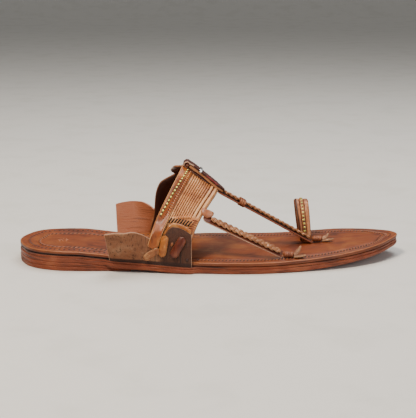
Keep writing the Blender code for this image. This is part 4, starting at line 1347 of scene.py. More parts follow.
    def build(self) -> None:
        """Builds the stack from the top down."""
        self.layer("insole", SOLE.insole_bottom, SOLE.insole_top, INSOLE_LEATHER, tooled=True,
                   rounding=self.rounding, joint_shade=1.0)
        self.layer("midsole", SOLE.middle_bottom, SOLE.middle_top, EDGE_LEATHER, inset=0.0003, flare=self.ear_seat,
                   joint_shade=1.0)
        self.layer("outsole", SOLE.outsole_bottom, lambda x: SOLE.outsole_top(x) + self.pressed, EDGE_LEATHER,
                   flare=self.ear_seat)
        self.layer("heel_lift_upper", SOLE.lift_split, lambda x: SOLE.outsole_bottom(x) - CLEARANCE + self.pressed,
                   EDGE_LEATHER, SOLE.upper_end)
        self.layer("heel_lift_lower", SOLE.lift_bottom, lambda x: SOLE.lift_split(x) - CLEARANCE + self.pressed,
                   EDGE_LEATHER, SOLE.lower_end)
        self.tooling()


@dataclass
class InstepBand:
    """Hollow arch over the instep: strips, rear strap, front ridges, beads, slots and stitches.

    Attributes:
        half_stations: Steps from a foot to the crown.
        strips: Places where a strip ends and the next begins, as shares of the width.
        strap_width: Rear strap's share of the band's width.
        strap_end: Share of the way where its rounded end lies.
        strap_overhang: How far it stands behind the band, as a share of the width.
        front: Places where a cord of the front strap ends and the next begins.
        strap_thickness: Rear strap's thickness.
        join: How deep it is pressed into the band.
        slot_count: Slots on each side.
        slit_pitch: Distance between two slits of the gilt row.
        stitch_pitch: Distance between two stitches of the rear strap.
    """

    half_stations: int = 64
    strips: tuple[float, ...] = (0.285, 0.345, 0.400, 0.455, 0.512, 0.570, 0.625, 0.683, 0.740, 0.800)
    front: tuple[float, ...] = (0.800, 0.895, 1.000)
    strap_width: float = 0.27
    strap_end: float = 0.12
    strap_overhang: float = 0.01
    strap_thickness: float = 0.0014
    join: float = 0.0004
    slot_count: int = 9
    slit_pitch: float = 0.00145
    stitch_pitch: float = 0.0019

    def ways(self) -> list[tuple[float, Side]]:
        """Shares of the way from the lateral foot over the crown to the medial foot."""
        half = [k / self.half_stations for k in range(self.half_stations)]
        return [(t, Side.LATERAL) for t in half] + [(1.0, Side.MEDIAL)] + [(t, Side.MEDIAL) for t in half[::-1]]

    def columns(self) -> list[tuple[float, float, float]]:
        """Places across the band, with the ridge's height there and how much shade is painted in the groove.

        Returns:
            Place, height and painted shade of each column.
        """
        result = [(0.0, 0.0, 0.0), (0.10, 0.0, 0.0), (0.20, 0.0, 0.0), (0.27, 0.0, 0.2)]
        for edges, height in ((self.strips, 1.0), (self.front, 1.25)):
            for a, b in zip(edges, edges[1:]):
                for t, rise, dark in ((0.0, 0.0, 1.0), (0.14, 0.62, 0.45), (0.32, 0.95, 0.0), (0.5, 1.0, 0.0),
                                      (0.68, 0.95, 0.0), (0.86, 0.62, 0.45)):
                    result.append((mix(a, b, t), rise * height, dark))
        return result + [(1.0, 0.3, 0.0)]

    @staticmethod
    def strips_end(w: float) -> float:
        """Share of the way where the strips come out of the slotted leather."""
        return 0.36 + 0.20 * w

    @staticmethod
    def slots_at(w: float) -> float:
        """Share of the way where the row of slots lies."""
        return 0.386 + 0.075 * w

    def body(self) -> None:
        """The arch itself, with its strips raised."""
        ways, columns = self.ways(), self.columns()
        grid = []
        for i, (way, side) in enumerate(ways):
            reach = BAND.rear_lobe(i / (len(ways) - 1))
            row = []
            for w, _, _ in columns:
                p = BAND.point(w, way, side)
                p.x -= reach * (1 - ease(w, 0.0, BAND.lobe_depth))
                row.append(p)
            grid.append(row)

        def raised(i: int, j: int) -> float:
            """How far the strips are raised at a place.

            Args:
                i: Row.
                j: Column.

            Returns:
                Share of the full height.
            """
            way, w = ways[i][0], columns[j][0]
            end = self.strips_end(w) if w < 0.80 else 0.53
            return ease(way, end - 0.02, end + 0.015) * (1 - ease(way, 0.93, 0.97) * ease(w, 0.9, 0.5))

        def outside(i: int, j: int) -> float:
            """Thickness outside the middle surface.

            Args:
                i: Row.
                j: Column.

            Returns:
                The thickness.
            """
            flat = 0.35 * ease(ways[i][0], 0.0, 0.05)
            share = mix(flat, columns[j][1], raised(i, j)) if columns[j][0] > 0.27 else 0.0
            return BAND.thickness / 2 + BAND.ridge * share

        def groove(i: int, j: int) -> float:
            """Painted shade in the grooves, deepest where the strips stand highest; the front strap is paler."""
            w, _, dark_share = columns[j]
            return dark_share * raised(i, j) if dark_share > 0.4 or w < self.front[0] else -0.8 * raised(i, j)

        half = BAND.thickness / 2
        flipped = [row[::-1] for row in grid]
        wide = len(columns) - 1
        obj = Bench.slab("band_leather", flipped, lambda i, j: outside(i, wide - j), lambda i, j: half,
                         lambda i, j: groove(i, wide - j))
        Bench.finish(obj, BAND_LEATHER, Slot.BAND, "upper", angle=60.0)

    def over_ear(self, p: Vector, side: Side, lift: float) -> Vector:
        """Moves a point of the band's outer face out where the ear lies under it.

        Args:
            p: Point of the outer face.
            side: Side of the band.
            lift: Distance outside the ear's middle surface.

        Returns:
            The moved point.
        """
        share = (SOLE.share(p.x) - EAR.ends[0]) / (EAR.ends[1] - EAR.ends[0])
        top = EAR.root_z(p.x) + EAR.reach(share, side)
        if p.z > top + 0.012:
            return p
        return p.lerp(EAR.outside(p.x, p.z, side, lift), 1 - ease(p.z, top + 0.003, top + 0.012))

    def rear_strap(self) -> None:
        """Burnished strap over the rear edge, with rounded ends over the ears."""
        reach = 0.035
        shares = round_end(reach, 6) + [mix(reach, 1.0, k / 40) for k in range(40)]
        ways = [(mix(self.strap_end, 1, s), s, Side.LATERAL) for s in shares] + [(1.0, 1.0, Side.MEDIAL)]
        ways += [(mix(self.strap_end, 1, s), s, Side.MEDIAL) for s in shares[::-1]]
        lift = (SOLE.middle + self.strap_thickness) / 2 + CLEARANCE
        places = (-1.0, -0.86, -0.6, -0.3, 0.0, 0.3, 0.6, 0.86, 1.0)
        grid = []
        for way, share, side in ways:
            half = self.strap_width / 2 * max(narrowing(share, reach), 0.22)
            row = []
            for k in places[::-1]:
                w = self.strap_width / 2 - self.strap_overhang + half * k
                rest = BAND.outside(w, way, side, self.strap_thickness / 2 - self.join)
                row.append(self.over_ear(rest, side, lift))
            grid.append(row)
        half = self.strap_thickness / 2
        crown = [0.55, 0.85, 1.0, 1.12, 1.18, 1.12, 1.0, 0.85, 0.55]
        obj = Bench.slab("rear_strap", grid, lambda i, j: half * crown[j], lambda i, j: half)
        Bench.finish(obj, STRAP_LEATHER, Slot.BAND)

    def beads(self) -> None:
        """Gilt foil showing through a row of slits along the rear strap, and the stitch rows beside it."""
        top = self.strap_thickness - self.join
        gilt, hollow, frames_light, frames_dark = [], [], [], []
        for side in Side:
            steps = [mix(0.40, 0.985, k / 60) for k in range(61)]
            line = [BAND.outside(0.045 + 0.16 * (way - 0.43), way, side, top) for way in steps]
            for n, (p, t) in enumerate(walk(line, self.slit_pitch)):
                up = Vector((0, p.y, 0.02)).normalized() if abs(p.y) > 0.004 else Vector((0, 0, 1))
                up = (up + Vector((-0.3, 0, 0.3))).normalized()
                frame_here = stand(p + up * 0.0001, t, up, math.radians(12 * side.value))
                (gilt if n % 2 else hollow).append(frame_here)
            for w0, store, drop in ((0.160, frames_dark, 0.0), (0.205, frames_light, 0.0),
                                    (0.245, frames_dark, 0.0006)):
                row = [BAND.outside(w0, mix(0.34, 0.985, k / 60), side, top - drop) for k in range(61)]
                for p, t in walk(row, self.stitch_pitch):
                    up = (Vector((0, p.y, 0.02)).normalized() + Vector((-0.3, 0, 0.3))).normalized()
                    store.append(stand(p, t, up, math.radians(-52 * side.value)))
        for name, size, frames, finish, slot in (
                ("gilt_slits", (0.0019, 0.0018, 0.0008), gilt, GILT, Slot.METAL),
                # Dark beads between the gilt pieces: painted shade in the slits
                ("gilt_slit_ends", (0.0008, 0.0020, 0.0006), hollow, DARK_THREAD_AND_SLIT_SHADE, Slot.BAND),
                ("strap_stitches_dark", (0.0016, 0.0009, 0.0007), frames_dark, CREST_LEATHER, Slot.BAND),
                ("strap_stitches_light", (0.0015, 0.0008, 0.0006), frames_light, TAN_THREAD, Slot.BAND)):
            Bench.scatter(name, size, frames, finish, slot)

    def slots(self) -> None:
        """Row of slanted slots with lacing between them, and the fringe of stitches at the front edge."""
        dark, light, fringe, loops = [], [], [], []
        for side in Side:
            for k in range(self.slot_count):
                w = mix(0.27, 0.84, k / (self.slot_count - 1))
                way = self.slots_at(w)
                up = BAND.normal(w, way, side)
                along = BAND.point(w, way + 0.02, side) - BAND.point(w, way - 0.02, side)
                tilt = math.radians(16 * side.value)
                dark.append(stand(BAND.outside(w, way, side, 0.0007), along, up, tilt))
                w2 = w + 0.5 * 0.57 / (self.slot_count - 1)
                light.append(stand(BAND.outside(w2, self.slots_at(w2), side, 0.0006), along, up, tilt))
            for a, b in zip(self.strips, self.strips[1:]):
                w, way = (a + b) / 2, self.strips_end((a + b) / 2)
                along = BAND.point(w, way + 0.02, side) - BAND.point(w, way - 0.02, side)
                loops.append(stand(BAND.outside(w, way, side, 0.0004), along, BAND.normal(w, way, side)))
            for k in range(7):
                way = mix(0.36, 0.50, k / 6)
                up = BAND.normal(0.92, way, side)
                along = BAND.point(1.0, way, side) - BAND.point(0.84, way - 0.01, side)
                fringe.append(stand(BAND.outside(0.92, way, side, 0.00035), along, up, 0.0))
        for name, size, frames, finish in (
                # Slots: dark beads of painted shade for the hollows under the lacing
                ("band_slots", (0.0052, 0.0015, 0.0014, 10), dark, HOLLOW),
                ("slot_lacing", (0.0052, 0.0010, 0.0019, 10), light, BAND_LEATHER),
                ("front_fringe", (0.0046, 0.0009, 0.0011), fringe, BACKING_LEATHER),
                ("strip_ends", (0.0030, 0.0021, 0.0016, 10, 7), loops, BAND_LEATHER)):
            Bench.scatter(name, size, frames, finish, Slot.BAND)

    def build(self) -> None:
        """Builds the band and its trim."""
        self.body()
        self.rear_strap()
        self.beads()
        self.slots()


@dataclass
class Ears:
    """The two ears clamped in the sole, with the thong ends that lie on them."""

    stations: int = 60
    rises: int = 22
    thong_thickness: float = 0.0016
    thong_width: float = 0.0060
    thongs: tuple[tuple[str, tuple[float, float], tuple[float, float], float], ...] = (
        ("upright", (0.3885, 0.0270), (0.3800, 0.0128), 0.80),
        ("slanted", (0.4340, 0.0258), (0.4060, 0.0125), 0.88),
        ("wedge", (0.3720, 0.0180), (0.3350, 0.0112), 0.85),
    )

    def ear(self, side: Side) -> None:
        """One ear: leaf behind, lobe lying on the band in front.

        Args:
            side: Which ear.
        """
        grid = []
        for i in range(self.stations + 1):
            share = i / self.stations
            x = SOLE.place(mix(*EAR.ends, share))
            middle = (SOLE.middle_bottom(x) + SOLE.middle_top(x)) / 2
            wall = EAR.point(x, 0.0, side).y
            row = [Vector((x, SOLE.edge_y(x, side) - side.value * EAR.flange, middle))]
            for k in range(5):
                angle = math.pi / 2 * k / 5
                row.append(Vector((x, wall - side.value * EAR.bend * (1 - math.sin(angle)),
                                   middle + EAR.bend * (1 - math.cos(angle)))))
            for k in range(self.rises + 1):
                p = EAR.point(x, EAR.reach(share, side) * k / self.rises, side)
                p.x -= EAR.sweep * (1 - share) ** 2 * k / self.rises
                row.append(p)
            grid.append(row if side is Side.LATERAL else row[::-1])
        half = SOLE.middle / 2
        foot = [0.9, 0.9, 0.9, 0.9, 1.0, 1.0, 1.0, 0.7] + [0.0] * self.rises
        foot = foot if side is Side.LATERAL else foot[::-1]
        obj = Bench.slab("ear_leather_" + side.word, grid, lambda i, j: half, lambda i, j: half,
                         lambda i, j: foot[j], rounding=0.6)
        finish = EAR_LEATHER if side is Side.LATERAL else FAR_EAR_LEATHER
        Bench.finish(obj, finish, Slot.EAR, "ear_" + side.word)

    def thong(self, side: Side, name: str, top: tuple[float, float], bottom: tuple[float, float],
              width: float) -> None:
        """Rounded thong end lying on an ear.

        Args:
            side: Ear that it lies on.
            name: Which of the three it is.
            top: Upper end, as a length share and a height.
            bottom: Lower end.
            width: Its width.
        """
        a, b = Vector((SOLE.place(top[0]), top[1])), Vector((SOLE.place(bottom[0]), bottom[1]))
        length = (b - a).length
        across = Vector((-(b - a).y, (b - a).x)).normalized()
        lift = SOLE.middle / 2 + CLEARANCE + self.thong_thickness / 2
        reach = width / 2 / length
        ends = round_end(reach, 5)
        shares = ends + [mix(reach, 1 - reach, k / 6) for k in range(7)] + [1 - s for s in ends[::-1]]
        grid = []
        for share in shares:
            half = width / 2 * max(narrowing(min(share, 1 - share), reach), 0.2)
            row = []
            for k in (-1.0, -0.7, -0.35, 0.0, 0.35, 0.7, 1.0):
                spot = a.lerp(b, share) + across * half * k
                row.append(EAR.outside(spot.x, spot.y, side, lift))
            grid.append(row if side is Side.LATERAL else row[::-1])
        half = self.thong_thickness / 2
        ribbed = name == "wedge"
        dome = [0.6, 1.3, 0.8, 1.5, 0.8, 1.3, 0.6] if ribbed else [0.6, 1.1, 1.4, 1.5, 1.4, 1.1, 0.6]
        obj = Bench.slab("thong_leather_" + name + "_" + side.word, grid, lambda i, j: half * dome[j],
                         lambda i, j: half)
        Bench.soften(obj)
        finishes = {"upright": THONG_LEATHER, "slanted": RED_THONG_LEATHER, "wedge": WEDGE_LEATHER}
        Bench.finish(obj, finishes[name], Slot.BAND, "thong_" + name + "_" + side.word)

    def welt(self, side: Side) -> None:
        """Golden edging of the band that follows the top of the ear's front lobe.

        Args:
            side: Which ear.
        """
        grid = []
        for k in range(41):
            share = mix(0.66, 0.995, k / 40)
            x = SOLE.place(mix(*EAR.ends, share))
            top = EAR.point(x, EAR.reach(share, side), side).z
            row = [EAR.outside(x, top + height, side, -0.0003) for height in (0.0003, 0.0010, 0.0017, 0.0024, 0.0030)]
            grid.append(row if side is Side.LATERAL else row[::-1])
        dome = [0.0004, 0.0008, 0.0010, 0.0008, 0.0004]
        obj = Bench.slab("ear_welt_" + side.word, grid, lambda i, j: dome[j], lambda i, j: 0.0004)
        Bench.finish(obj, THONG_LEATHER, Slot.BAND)

    def studs(self) -> None:
        """Small tack at the ear's front corner and knot between the thong ends, on both ears."""
        for name, share, z, size, finish in (("ear_tacks", 0.4427, 0.0107, (0.0024, 0.0022, 0.0014), DARK_THREAD_AND_SLIT_SHADE),
                                             ("ear_knots", 0.4050, 0.0213, (0.0030, 0.0022, 0.0016), WEDGE_LEATHER)):
            frames = []
            for side in Side:
                x = SOLE.place(share)
                at = EAR.outside(x, z, side, SOLE.middle / 2)
                frames.append(stand(at, Vector((0.3, 0, 1)), at - EAR.point(x, EAR.reach(0.5, side) * 0.5, side)
                                    + Vector((0, side.value * 0.1, 0))))
            Bench.scatter(name, (*size, 12, 8), frames, finish, Slot.EAR)

    def build(self) -> None:
        """Builds both ears and their thong ends."""
        self.studs()
        for side in Side:
            self.ear(side)
            self.welt(side)
            for name, top, bottom, width in self.thongs:
                self.thong(side, name, top, bottom, width * self.thong_width)


@dataclass
class Straps:
    """Centre strap with its folded crest, lateral strap, plaits, collar, keepers and thong tips."""

    thickness: float = 0.0014
    join: float = 0.0004
    centre_width: float = 0.0075
    centre_foot_share: float = 0.769
    centre_side: float = 0.0105
    crest_width: float = 0.0100
    crest_lift: float = 0.0044
    curl_radius: float = 0.0022
    curl_place: float = 0.05
    sink: float = 0.0016
    tip: float = 0.35
    clip_place: float = 0.39
    lateral_width: float = 0.0070
    lateral_root: tuple[float, float] = (0.97, 0.565)
    lateral_foot_share: float = 0.683
    lateral_side: float = -0.0310
    lateral_roll: float = math.radians(30)
    root_skip: float = 0.045
    braid_width: float = 0.0056
    braid_thickness: float = 0.0022
    braid_pitch: float = 0.0125
    braid_inset: float = 0.0014
    strand: tuple[float, float] = (0.00150, 0.00066)
    collar: tuple[float, float] = (0.0042, 0.0024)
    core_half: float = 0.0043
    curl_edge: tuple[float, float] = (0.00042, 0.00042)
    roll: tuple[float, float] = (0.00152, 0.00152)
    tab_radius: float = 0.0048
    tab_flatness: float = 0.36
    tab_cut: float = 0.0011
    keeper: tuple[float, float, float] = (0.0062, 0.0034, 0.75)
    tip_length: float = 0.0080
    tip_width: float = 0.0036
    clip_half: tuple[float, float] = (0.0056, 0.0013)
    crest: Rows = ((1.14, 0.44), (1.05, 0.50), (0.90, 0.60), (0.70, 0.72), (0.50, 0.84), (0.34, 0.95), (0.20, 1.02))

    @property
    def flap_base(self) -> float:
        """Height of a strap's middle over the crown line where it lies on the band."""
        return BAND.thickness / 2 + self.thickness / 2 - self.join

    def crown(self, share: float, height: float) -> Vector:
        """Point above the crown line.

        Args:
            share: Share from the band's rear edge to its front one.
            height: Distance above the line.

        Returns:
            The point.
        """
        rear, front = BAND.point(0.0, 1.0, Side.MEDIAL), BAND.point(1.0, 1.0, Side.MEDIAL)
        along = (front - rear).normalized()
        return rear + (front - rear) * share + Vector((-along.z, 0, along.x)).normalized() * height

    def flap(self, share: float, lift: float = 0.0) -> Vector:
        """Point of the flap's middle line, or above it."""
        return self.crown(share, self.flap_base + follow(sorted(self.crest), share) * self.crest_lift + lift)

    def centre_foot(self) -> Vector:
        """Foot of the centre strap on the insole."""
        x = SOLE.place(self.centre_foot_share)
        return Vector((x, self.centre_side, SOLE.insole_top(x) + CLEARANCE + self.thickness / 2))

    def centre_path(self) -> tuple[list[Vector], list[Vector]]:
        """Middle line of the centre strap: the crest, then the run to the toes.

        Returns:
            Points of the crest, and points of the run.
        """
        low = self.flap_base
        crest = [self.flap(mix(self.crest[0][0], self.crest[-1][0], k / 24)) for k in range(25)]
        rear, front = BAND.point(0.0, 1.0, Side.MEDIAL), BAND.point(1.0, 1.0, Side.MEDIAL)
        along = (front - rear).normalized()
        up = Vector((-along.z, 0, along.x)).normalized()
        centre = self.crown(self.curl_place, low + self.curl_radius)
        for k in range(17):
            angle = math.radians(mix(110, -68, k / 16))
            crest.append(centre + (up * math.sin(angle) - along * math.cos(angle)) * self.curl_radius)
        for k in range(1, 13):
            t = k / 12
            crest.append(self.crown(mix(self.curl_place, 1.0, t), low - self.sink * ease(t, 0.4, 1.0)))
        leave = self.crown(1.0 + self.thickness / (front - rear).length, low - self.sink)
        return crest, [leave.lerp(self.centre_foot(), k / 16) for k in range(17)]

    def ribbon(self, name: str, path: list[Vector], width: Callable[[float], float], across: Vector,
               finish: Leather, slot: Slot, *nodes: str) -> bpy.types.Object:
        """Flat strap along a path.

        Args:
            name: Piece's name.
            path: Its middle line.
            width: Width at a share of the path's points.
            across: Direction of its width.
            finish: Its leather.
            slot: The record's slot.
            nodes: Nodes that it stands for.

        Returns:
            The finished strap.
        """
        last = len(path) - 1
        grid = []
        for i, p in enumerate(path):
            along = (path[min(i + 1, last)] - path[max(i - 1, 0)]).normalized()
            side = (across - along * across.dot(along)).normalized()
            half = width(i / last) / 2
            grid.append([p + side * half * k for k in (-1.0, -0.75, 0.0, 0.75, 1.0)])
        half = self.thickness / 2
        obj = Bench.slab(name, grid, lambda i, j: half, lambda i, j: half, rounding=0.6)
        Bench.soften(obj)
        return Bench.finish(obj, finish, slot, *nodes)

    def plait(self, name: str, start: Vector, end: Vector, across: Vector, node: str) -> None:
        """Three-strand plait between two points.

        Args:
            name: Piece's name.
            start: Its first point.
            end: Its last point.
            across: Direction of its width.
            node: Node that it stands for.
        """
        along = (end - start).normalized()
        side = (across - along * across.dot(along)).normalized()
        up = upward(along, side)
        length = (end - start).length
        turns = length / self.braid_pitch
        count = round(turns * 16)
        swing = self.braid_width / 2 - self.braid_inset
        strands = []
        for strand in range(3):
            path = []
            for k in range(count + 1):
                phase = 2 * math.pi * (turns * k / count + strand / 3)
                hold = min(1.0, min(k, count - k) / 8) * 0.7 + 0.3
                path.append(start.lerp(end, k / count) + side * math.sin(phase) * swing * hold
                            + up * math.sin(2 * phase) * self.braid_thickness * 0.26)
            strands.append(Bench.rod(name + str(strand), path, lambda i: self.strand, side))
        obj = Bench.join(name, strands)
        Bench.finish(obj, BRAID_LEATHER, Slot.BRAID, node)

    def centre(self) -> None:
        """Centre strap, its crest and its plait with the wrapped collar."""
        crest, run = self.centre_path()
        tip_end = 5 / len(crest)
        self.ribbon("crest_strap", crest,
                    lambda s: self.crest_width * min(1.0, mix(self.tip, 1.0, s / tip_end))
                    * mix(1.0, 0.82, ease(s, 0.75, 1.0)),
                    Vector((0, 1, 0)), CREST_LEATHER, Slot.BAND)
        self.core()
        self.ribbon("centre_strap", run, lambda s: self.centre_width, Vector((0, 1, 0)), DARK_STRAP_LEATHER, Slot.BAND)
        start, foot = run[0], run[-1]
        along = (foot - start).normalized()
        side = Vector((0, 1, 0)) - along * along.y
        up = upward(along, side.normalized())
        lift = self.thickness / 2 + CLEARANCE + self.braid_thickness / 2
        self.plait("centre_plait", start + along * 0.0035 + up * lift, foot - along * 0.0030 + up * lift, side,
                   "centre_braid")
        middle = start.lerp(foot, 0.24) + up * (CLEARANCE + self.braid_thickness) / 2
        wraps = []
        for k in range(3):
            at = middle + along * (k - 1) * 0.0016
            loop = []
            for n in range(21):
                angle = 2 * math.pi * n / 20
                c, s = math.cos(angle), math.sin(angle)
                loop.append(at + side * math.copysign(abs(c) ** 0.6, c) * self.collar[0]
                            + up * math.copysign(abs(s) ** 0.6, s) * self.collar[1])
            wraps.append(Bench.rod("wrap" + str(k), loop, lambda i: (0.0009, 0.00055), along))
        Bench.finish(Bench.join("collar_wraps", wraps), KEEPER_LEATHER, Slot.BRAID, "centre_collar")

    def core(self) -> None:
        """Inner fold of the crest: tan leather between the flap and the strap under it."""
        low = self.flap_base
        rows = sorted(self.crest)
        grid, halves = [], []
        for k in range(25):
            s = mix(0.125, 1.13, k / 24)
            over = low + follow(rows, s) * self.crest_lift - self.thickness / 2 - 0.0001
            under = low - self.sink * ease((s - self.curl_place) / (1 - self.curl_place), 0.4, 1.0)
            under += self.thickness / 2 + 0.0006
            narrow = self.core_half * min(1.0, mix(self.tip, 1.0, (1.14 - s) / 0.2))
            centre = self.crown(s, (over + under) / 2)
            grid.append([centre + Vector((0, y * narrow, 0)) for y in (1.0, 0.75, 0.0, -0.75, -1.0)])
            halves.append(max(0.0004, (over - under) / 2))
        obj = Bench.slab("crest_core", grid[::-1], lambda i, j: halves[24 - i], lambda i, j: halves[24 - i],
                         rounding=0.15)
        Bench.finish(obj, CORE_LEATHER, Slot.BAND)
        curl = self.centre_path()[0][24:40]
        edges = [Bench.rod("edge" + side.word, [q + Vector((0, side.value * self.crest_width / 2, 0)) for q in curl],
                           lambda i: self.curl_edge, Vector((0, 1, 0))) for side in Side]
        Bench.finish(Bench.join("crest_curl_edges", edges), EDGING_LEATHER, Slot.BAND)
        # Dark rod that fills the curl's hollow: painted shade inside the curl
        middle = self.crown(self.curl_place + 0.01, low + self.curl_radius)
        roll = Bench.rod("crest_roll", [middle + Vector((0, mix(-0.0046, 0.0046, k / 6), 0)) for k in range(7)],
                         lambda i: self.roll, Vector((1, 0, 0)), 16)
        Bench.finish(roll, CREST_LEATHER, Slot.BAND)

    def tab(self) -> None:
        """Rounded leather tab that buttons the lateral strap to the band's front edge."""
        bpy.ops.object.select_all(action="DESELECT")
        bpy.ops.mesh.primitive_uv_sphere_add(segments=28, ring_count=14, radius=self.tab_radius)
        bpy.ops.object.mode_set(mode="EDIT")
        bpy.ops.transform.resize(value=(1.0, 1.0, self.tab_flatness))
        bpy.ops.mesh.select_all(action="SELECT")
        bpy.ops.mesh.bisect(plane_co=(0, self.tab_cut, 0), plane_no=(0, 1, 0), use_fill=True, clear_outer=True)
        bpy.ops.object.mode_set(mode="OBJECT")
        up = BAND.normal(1.0, 0.62, Side.LATERAL)
        at = BAND.outside(1.09, 0.632, Side.LATERAL, 0.0012)
        half = Bench.repeat("lateral_tab", bpy.context.active_object, [stand(at, Vector((1, 0, -0.42)), up)])
        Bench.finish(half, TAB_LEATHER, Slot.BAND)

    def lateral(self) -> None:
        """Lateral strap with its rounded tab, and its plait."""
        w, way = self.lateral_root
        start = BAND.outside(w, way, Side.LATERAL, self.thickness / 2)
        x = SOLE.place(self.lateral_foot_share)
        lift = self.thickness / 2 + self.lateral_width / 2 * math.sin(self.lateral_roll) + CLEARANCE
        foot = Vector((x, self.lateral_side, SOLE.insole_top(x) + lift))
        across = Vector((0, math.cos(self.lateral_roll), math.sin(self.lateral_roll)))
        length = (foot - start).length
        reach = self.lateral_width / 2 / length
        shares = round_end(reach, 6) + [mix(reach, 1.0, k / 16) for k in range(17)]
        path = [start.lerp(foot, mix(self.root_skip, 1.0, s)) for s in shares]
        last = len(path) - 1

        def width(share: float) -> float:
            """Width with a half-round root."""
            return self.lateral_width * max(0.25, narrowing(shares[round(share * last)], reach))

        self.ribbon("lateral_strap", path, width, across, PALE_EDGED_LEATHER, Slot.BAND)
        self.tab()
        along = (foot - start).normalized()
        side = (across - along * across.dot(along)).normalized()
        up = upward(along, side)
        lift = self.thickness / 2 + CLEARANCE + self.braid_thickness / 2
        self.plait("lateral_plait", start + along * 0.0085 + up * lift, foot - along * 0.0025 + up * lift, side,
                   "lateral_braid")

    def knot(self, word: str, share: float, y: float) -> None:
        """Rolled keeper and two thong tips where a strap goes into the insole.

        Args:
            word: Strap's name.
            share: Length share of the strap's foot.
            y: Y of the foot.
        """
        length, radius, flat = self.keeper
        x = SOLE.place(share) + self.thickness + length / 2
        floor = max(SOLE.insole_top(x - length / 2), SOLE.insole_top(x + length / 2)) + CLEARANCE
        path, sizes = [], []
        for k in range(19):
            t = k / 18
            path.append(Vector((x + (t - 0.5) * length, y, floor + radius * flat)))
            belly = 0.62 + 0.34 * math.sin(math.pi * min(1.0, max(0.0, t))) ** 0.5
            sizes.append(radius * belly * (1 + 0.05 * math.cos(2 * math.pi * t * 3)))
        parts = [Bench.rod(word + "_keeper_roll", path, lambda i: (sizes[i] * 0.84, sizes[i] * flat * 0.78),
                           Vector((0, 1, 0)), 20)]
        for k in range(4):
            turn = []
            for n in range(25):
                angle = 2 * math.pi * n / 24
                turn.append(Vector((x + (k - 1.5) * 0.0015 + 0.0004 * math.sin(angle),
                                    y + math.cos(angle) * radius * 0.82,
                                    floor + radius * flat * (0.86 + math.sin(angle) * 0.70))))
            parts.append(Bench.rod(word + "_wrap" + str(k), turn, lambda i: (0.00082, 0.0005), Vector((1, 0, 0))))
        Bench.finish(Bench.join(word + "_keeper_roll", parts), KEEPER_LEATHER, Slot.BRAID, word + "_keeper")
        ahead = x + length / 2 + 0.0010
        raised = {"lateral": 0.0048, "centre": 0.0024}
        for name, aside, heading, lift in (("tip_forward", -0.35, -8, 0.0009), ("tip_inward", 0.75, 48, raised[word])):
            turn = math.radians(heading)
            forward = Vector((math.cos(turn), math.sin(turn), 0))
            points = []
            for k in range(9):
                spot = Vector((ahead, y + self.tip_width * aside, 0)) + forward * self.tip_length * k / 8
                spot.z = SOLE.insole_top(spot.x) + 0.00125 + lift * (k / 8) ** 1.6
                points.append(spot)
            self.ribbon(word + "_" + name + "_leaf", points,
                        lambda s: self.tip_width * (0.75 + 0.25 * math.sin(math.pi * s)) * (1 - 0.75 * s ** 3),
                        Vector((-forward.y, forward.x, 0)), TIP_LEATHER, Slot.BRAID, word + "_" + name)

    def clip(self) -> None:
        """Bent ring of nickel silver round the flap."""
        rings = []
        for k in range(2):
            share = self.clip_place + 0.028 * k
            middle = self.flap(share)
            up = (self.crown(share, 1.0) - self.crown(share, 0.0)).normalized()
            loop = []
            for n in range(25):
                angle = 2 * math.pi * n / 24
                c, sine = math.cos(angle), math.sin(angle)
                loop.append(middle + Vector((0, math.copysign(abs(c) ** 0.35, c) * self.clip_half[0], 0))
                            + up * math.copysign(abs(sine) ** 0.5, sine) * self.clip_half[1])
            rings.append(Bench.rod("ring" + str(k), loop, lambda i: (0.00062, 0.0004), Vector((1, 0, -0.6))))
        Bench.finish(Bench.join("crest_clip_ring", rings), NICKEL, Slot.METAL, "crest_clip")

    def red_thread(self) -> None:
        """Red thread sewn along the flap of the crest."""
        frames = []
        for side in Side:
            edge = Vector((0, side.value * 0.0052, 0))
            line = [self.flap(mix(0.58, 0.92, k / 20), 0.0004) + edge for k in range(21)]
            frames += [stand(p, t, Vector((0, side.value, 0.6))) for p, t in walk(line, 0.0015)]
        Bench.scatter("crest_red_thread", (0.0016, 0.0006, 0.0006), frames, RED_THREAD, Slot.BRAID)

    def build(self) -> None:
        """Builds the straps and what lies on them."""
        self.centre()
        self.lateral()
        self.knot("centre", self.centre_foot_share, self.centre_side)
        self.knot("lateral", self.lateral_foot_share, self.lateral_side)
        self.red_thread()
        self.clip()


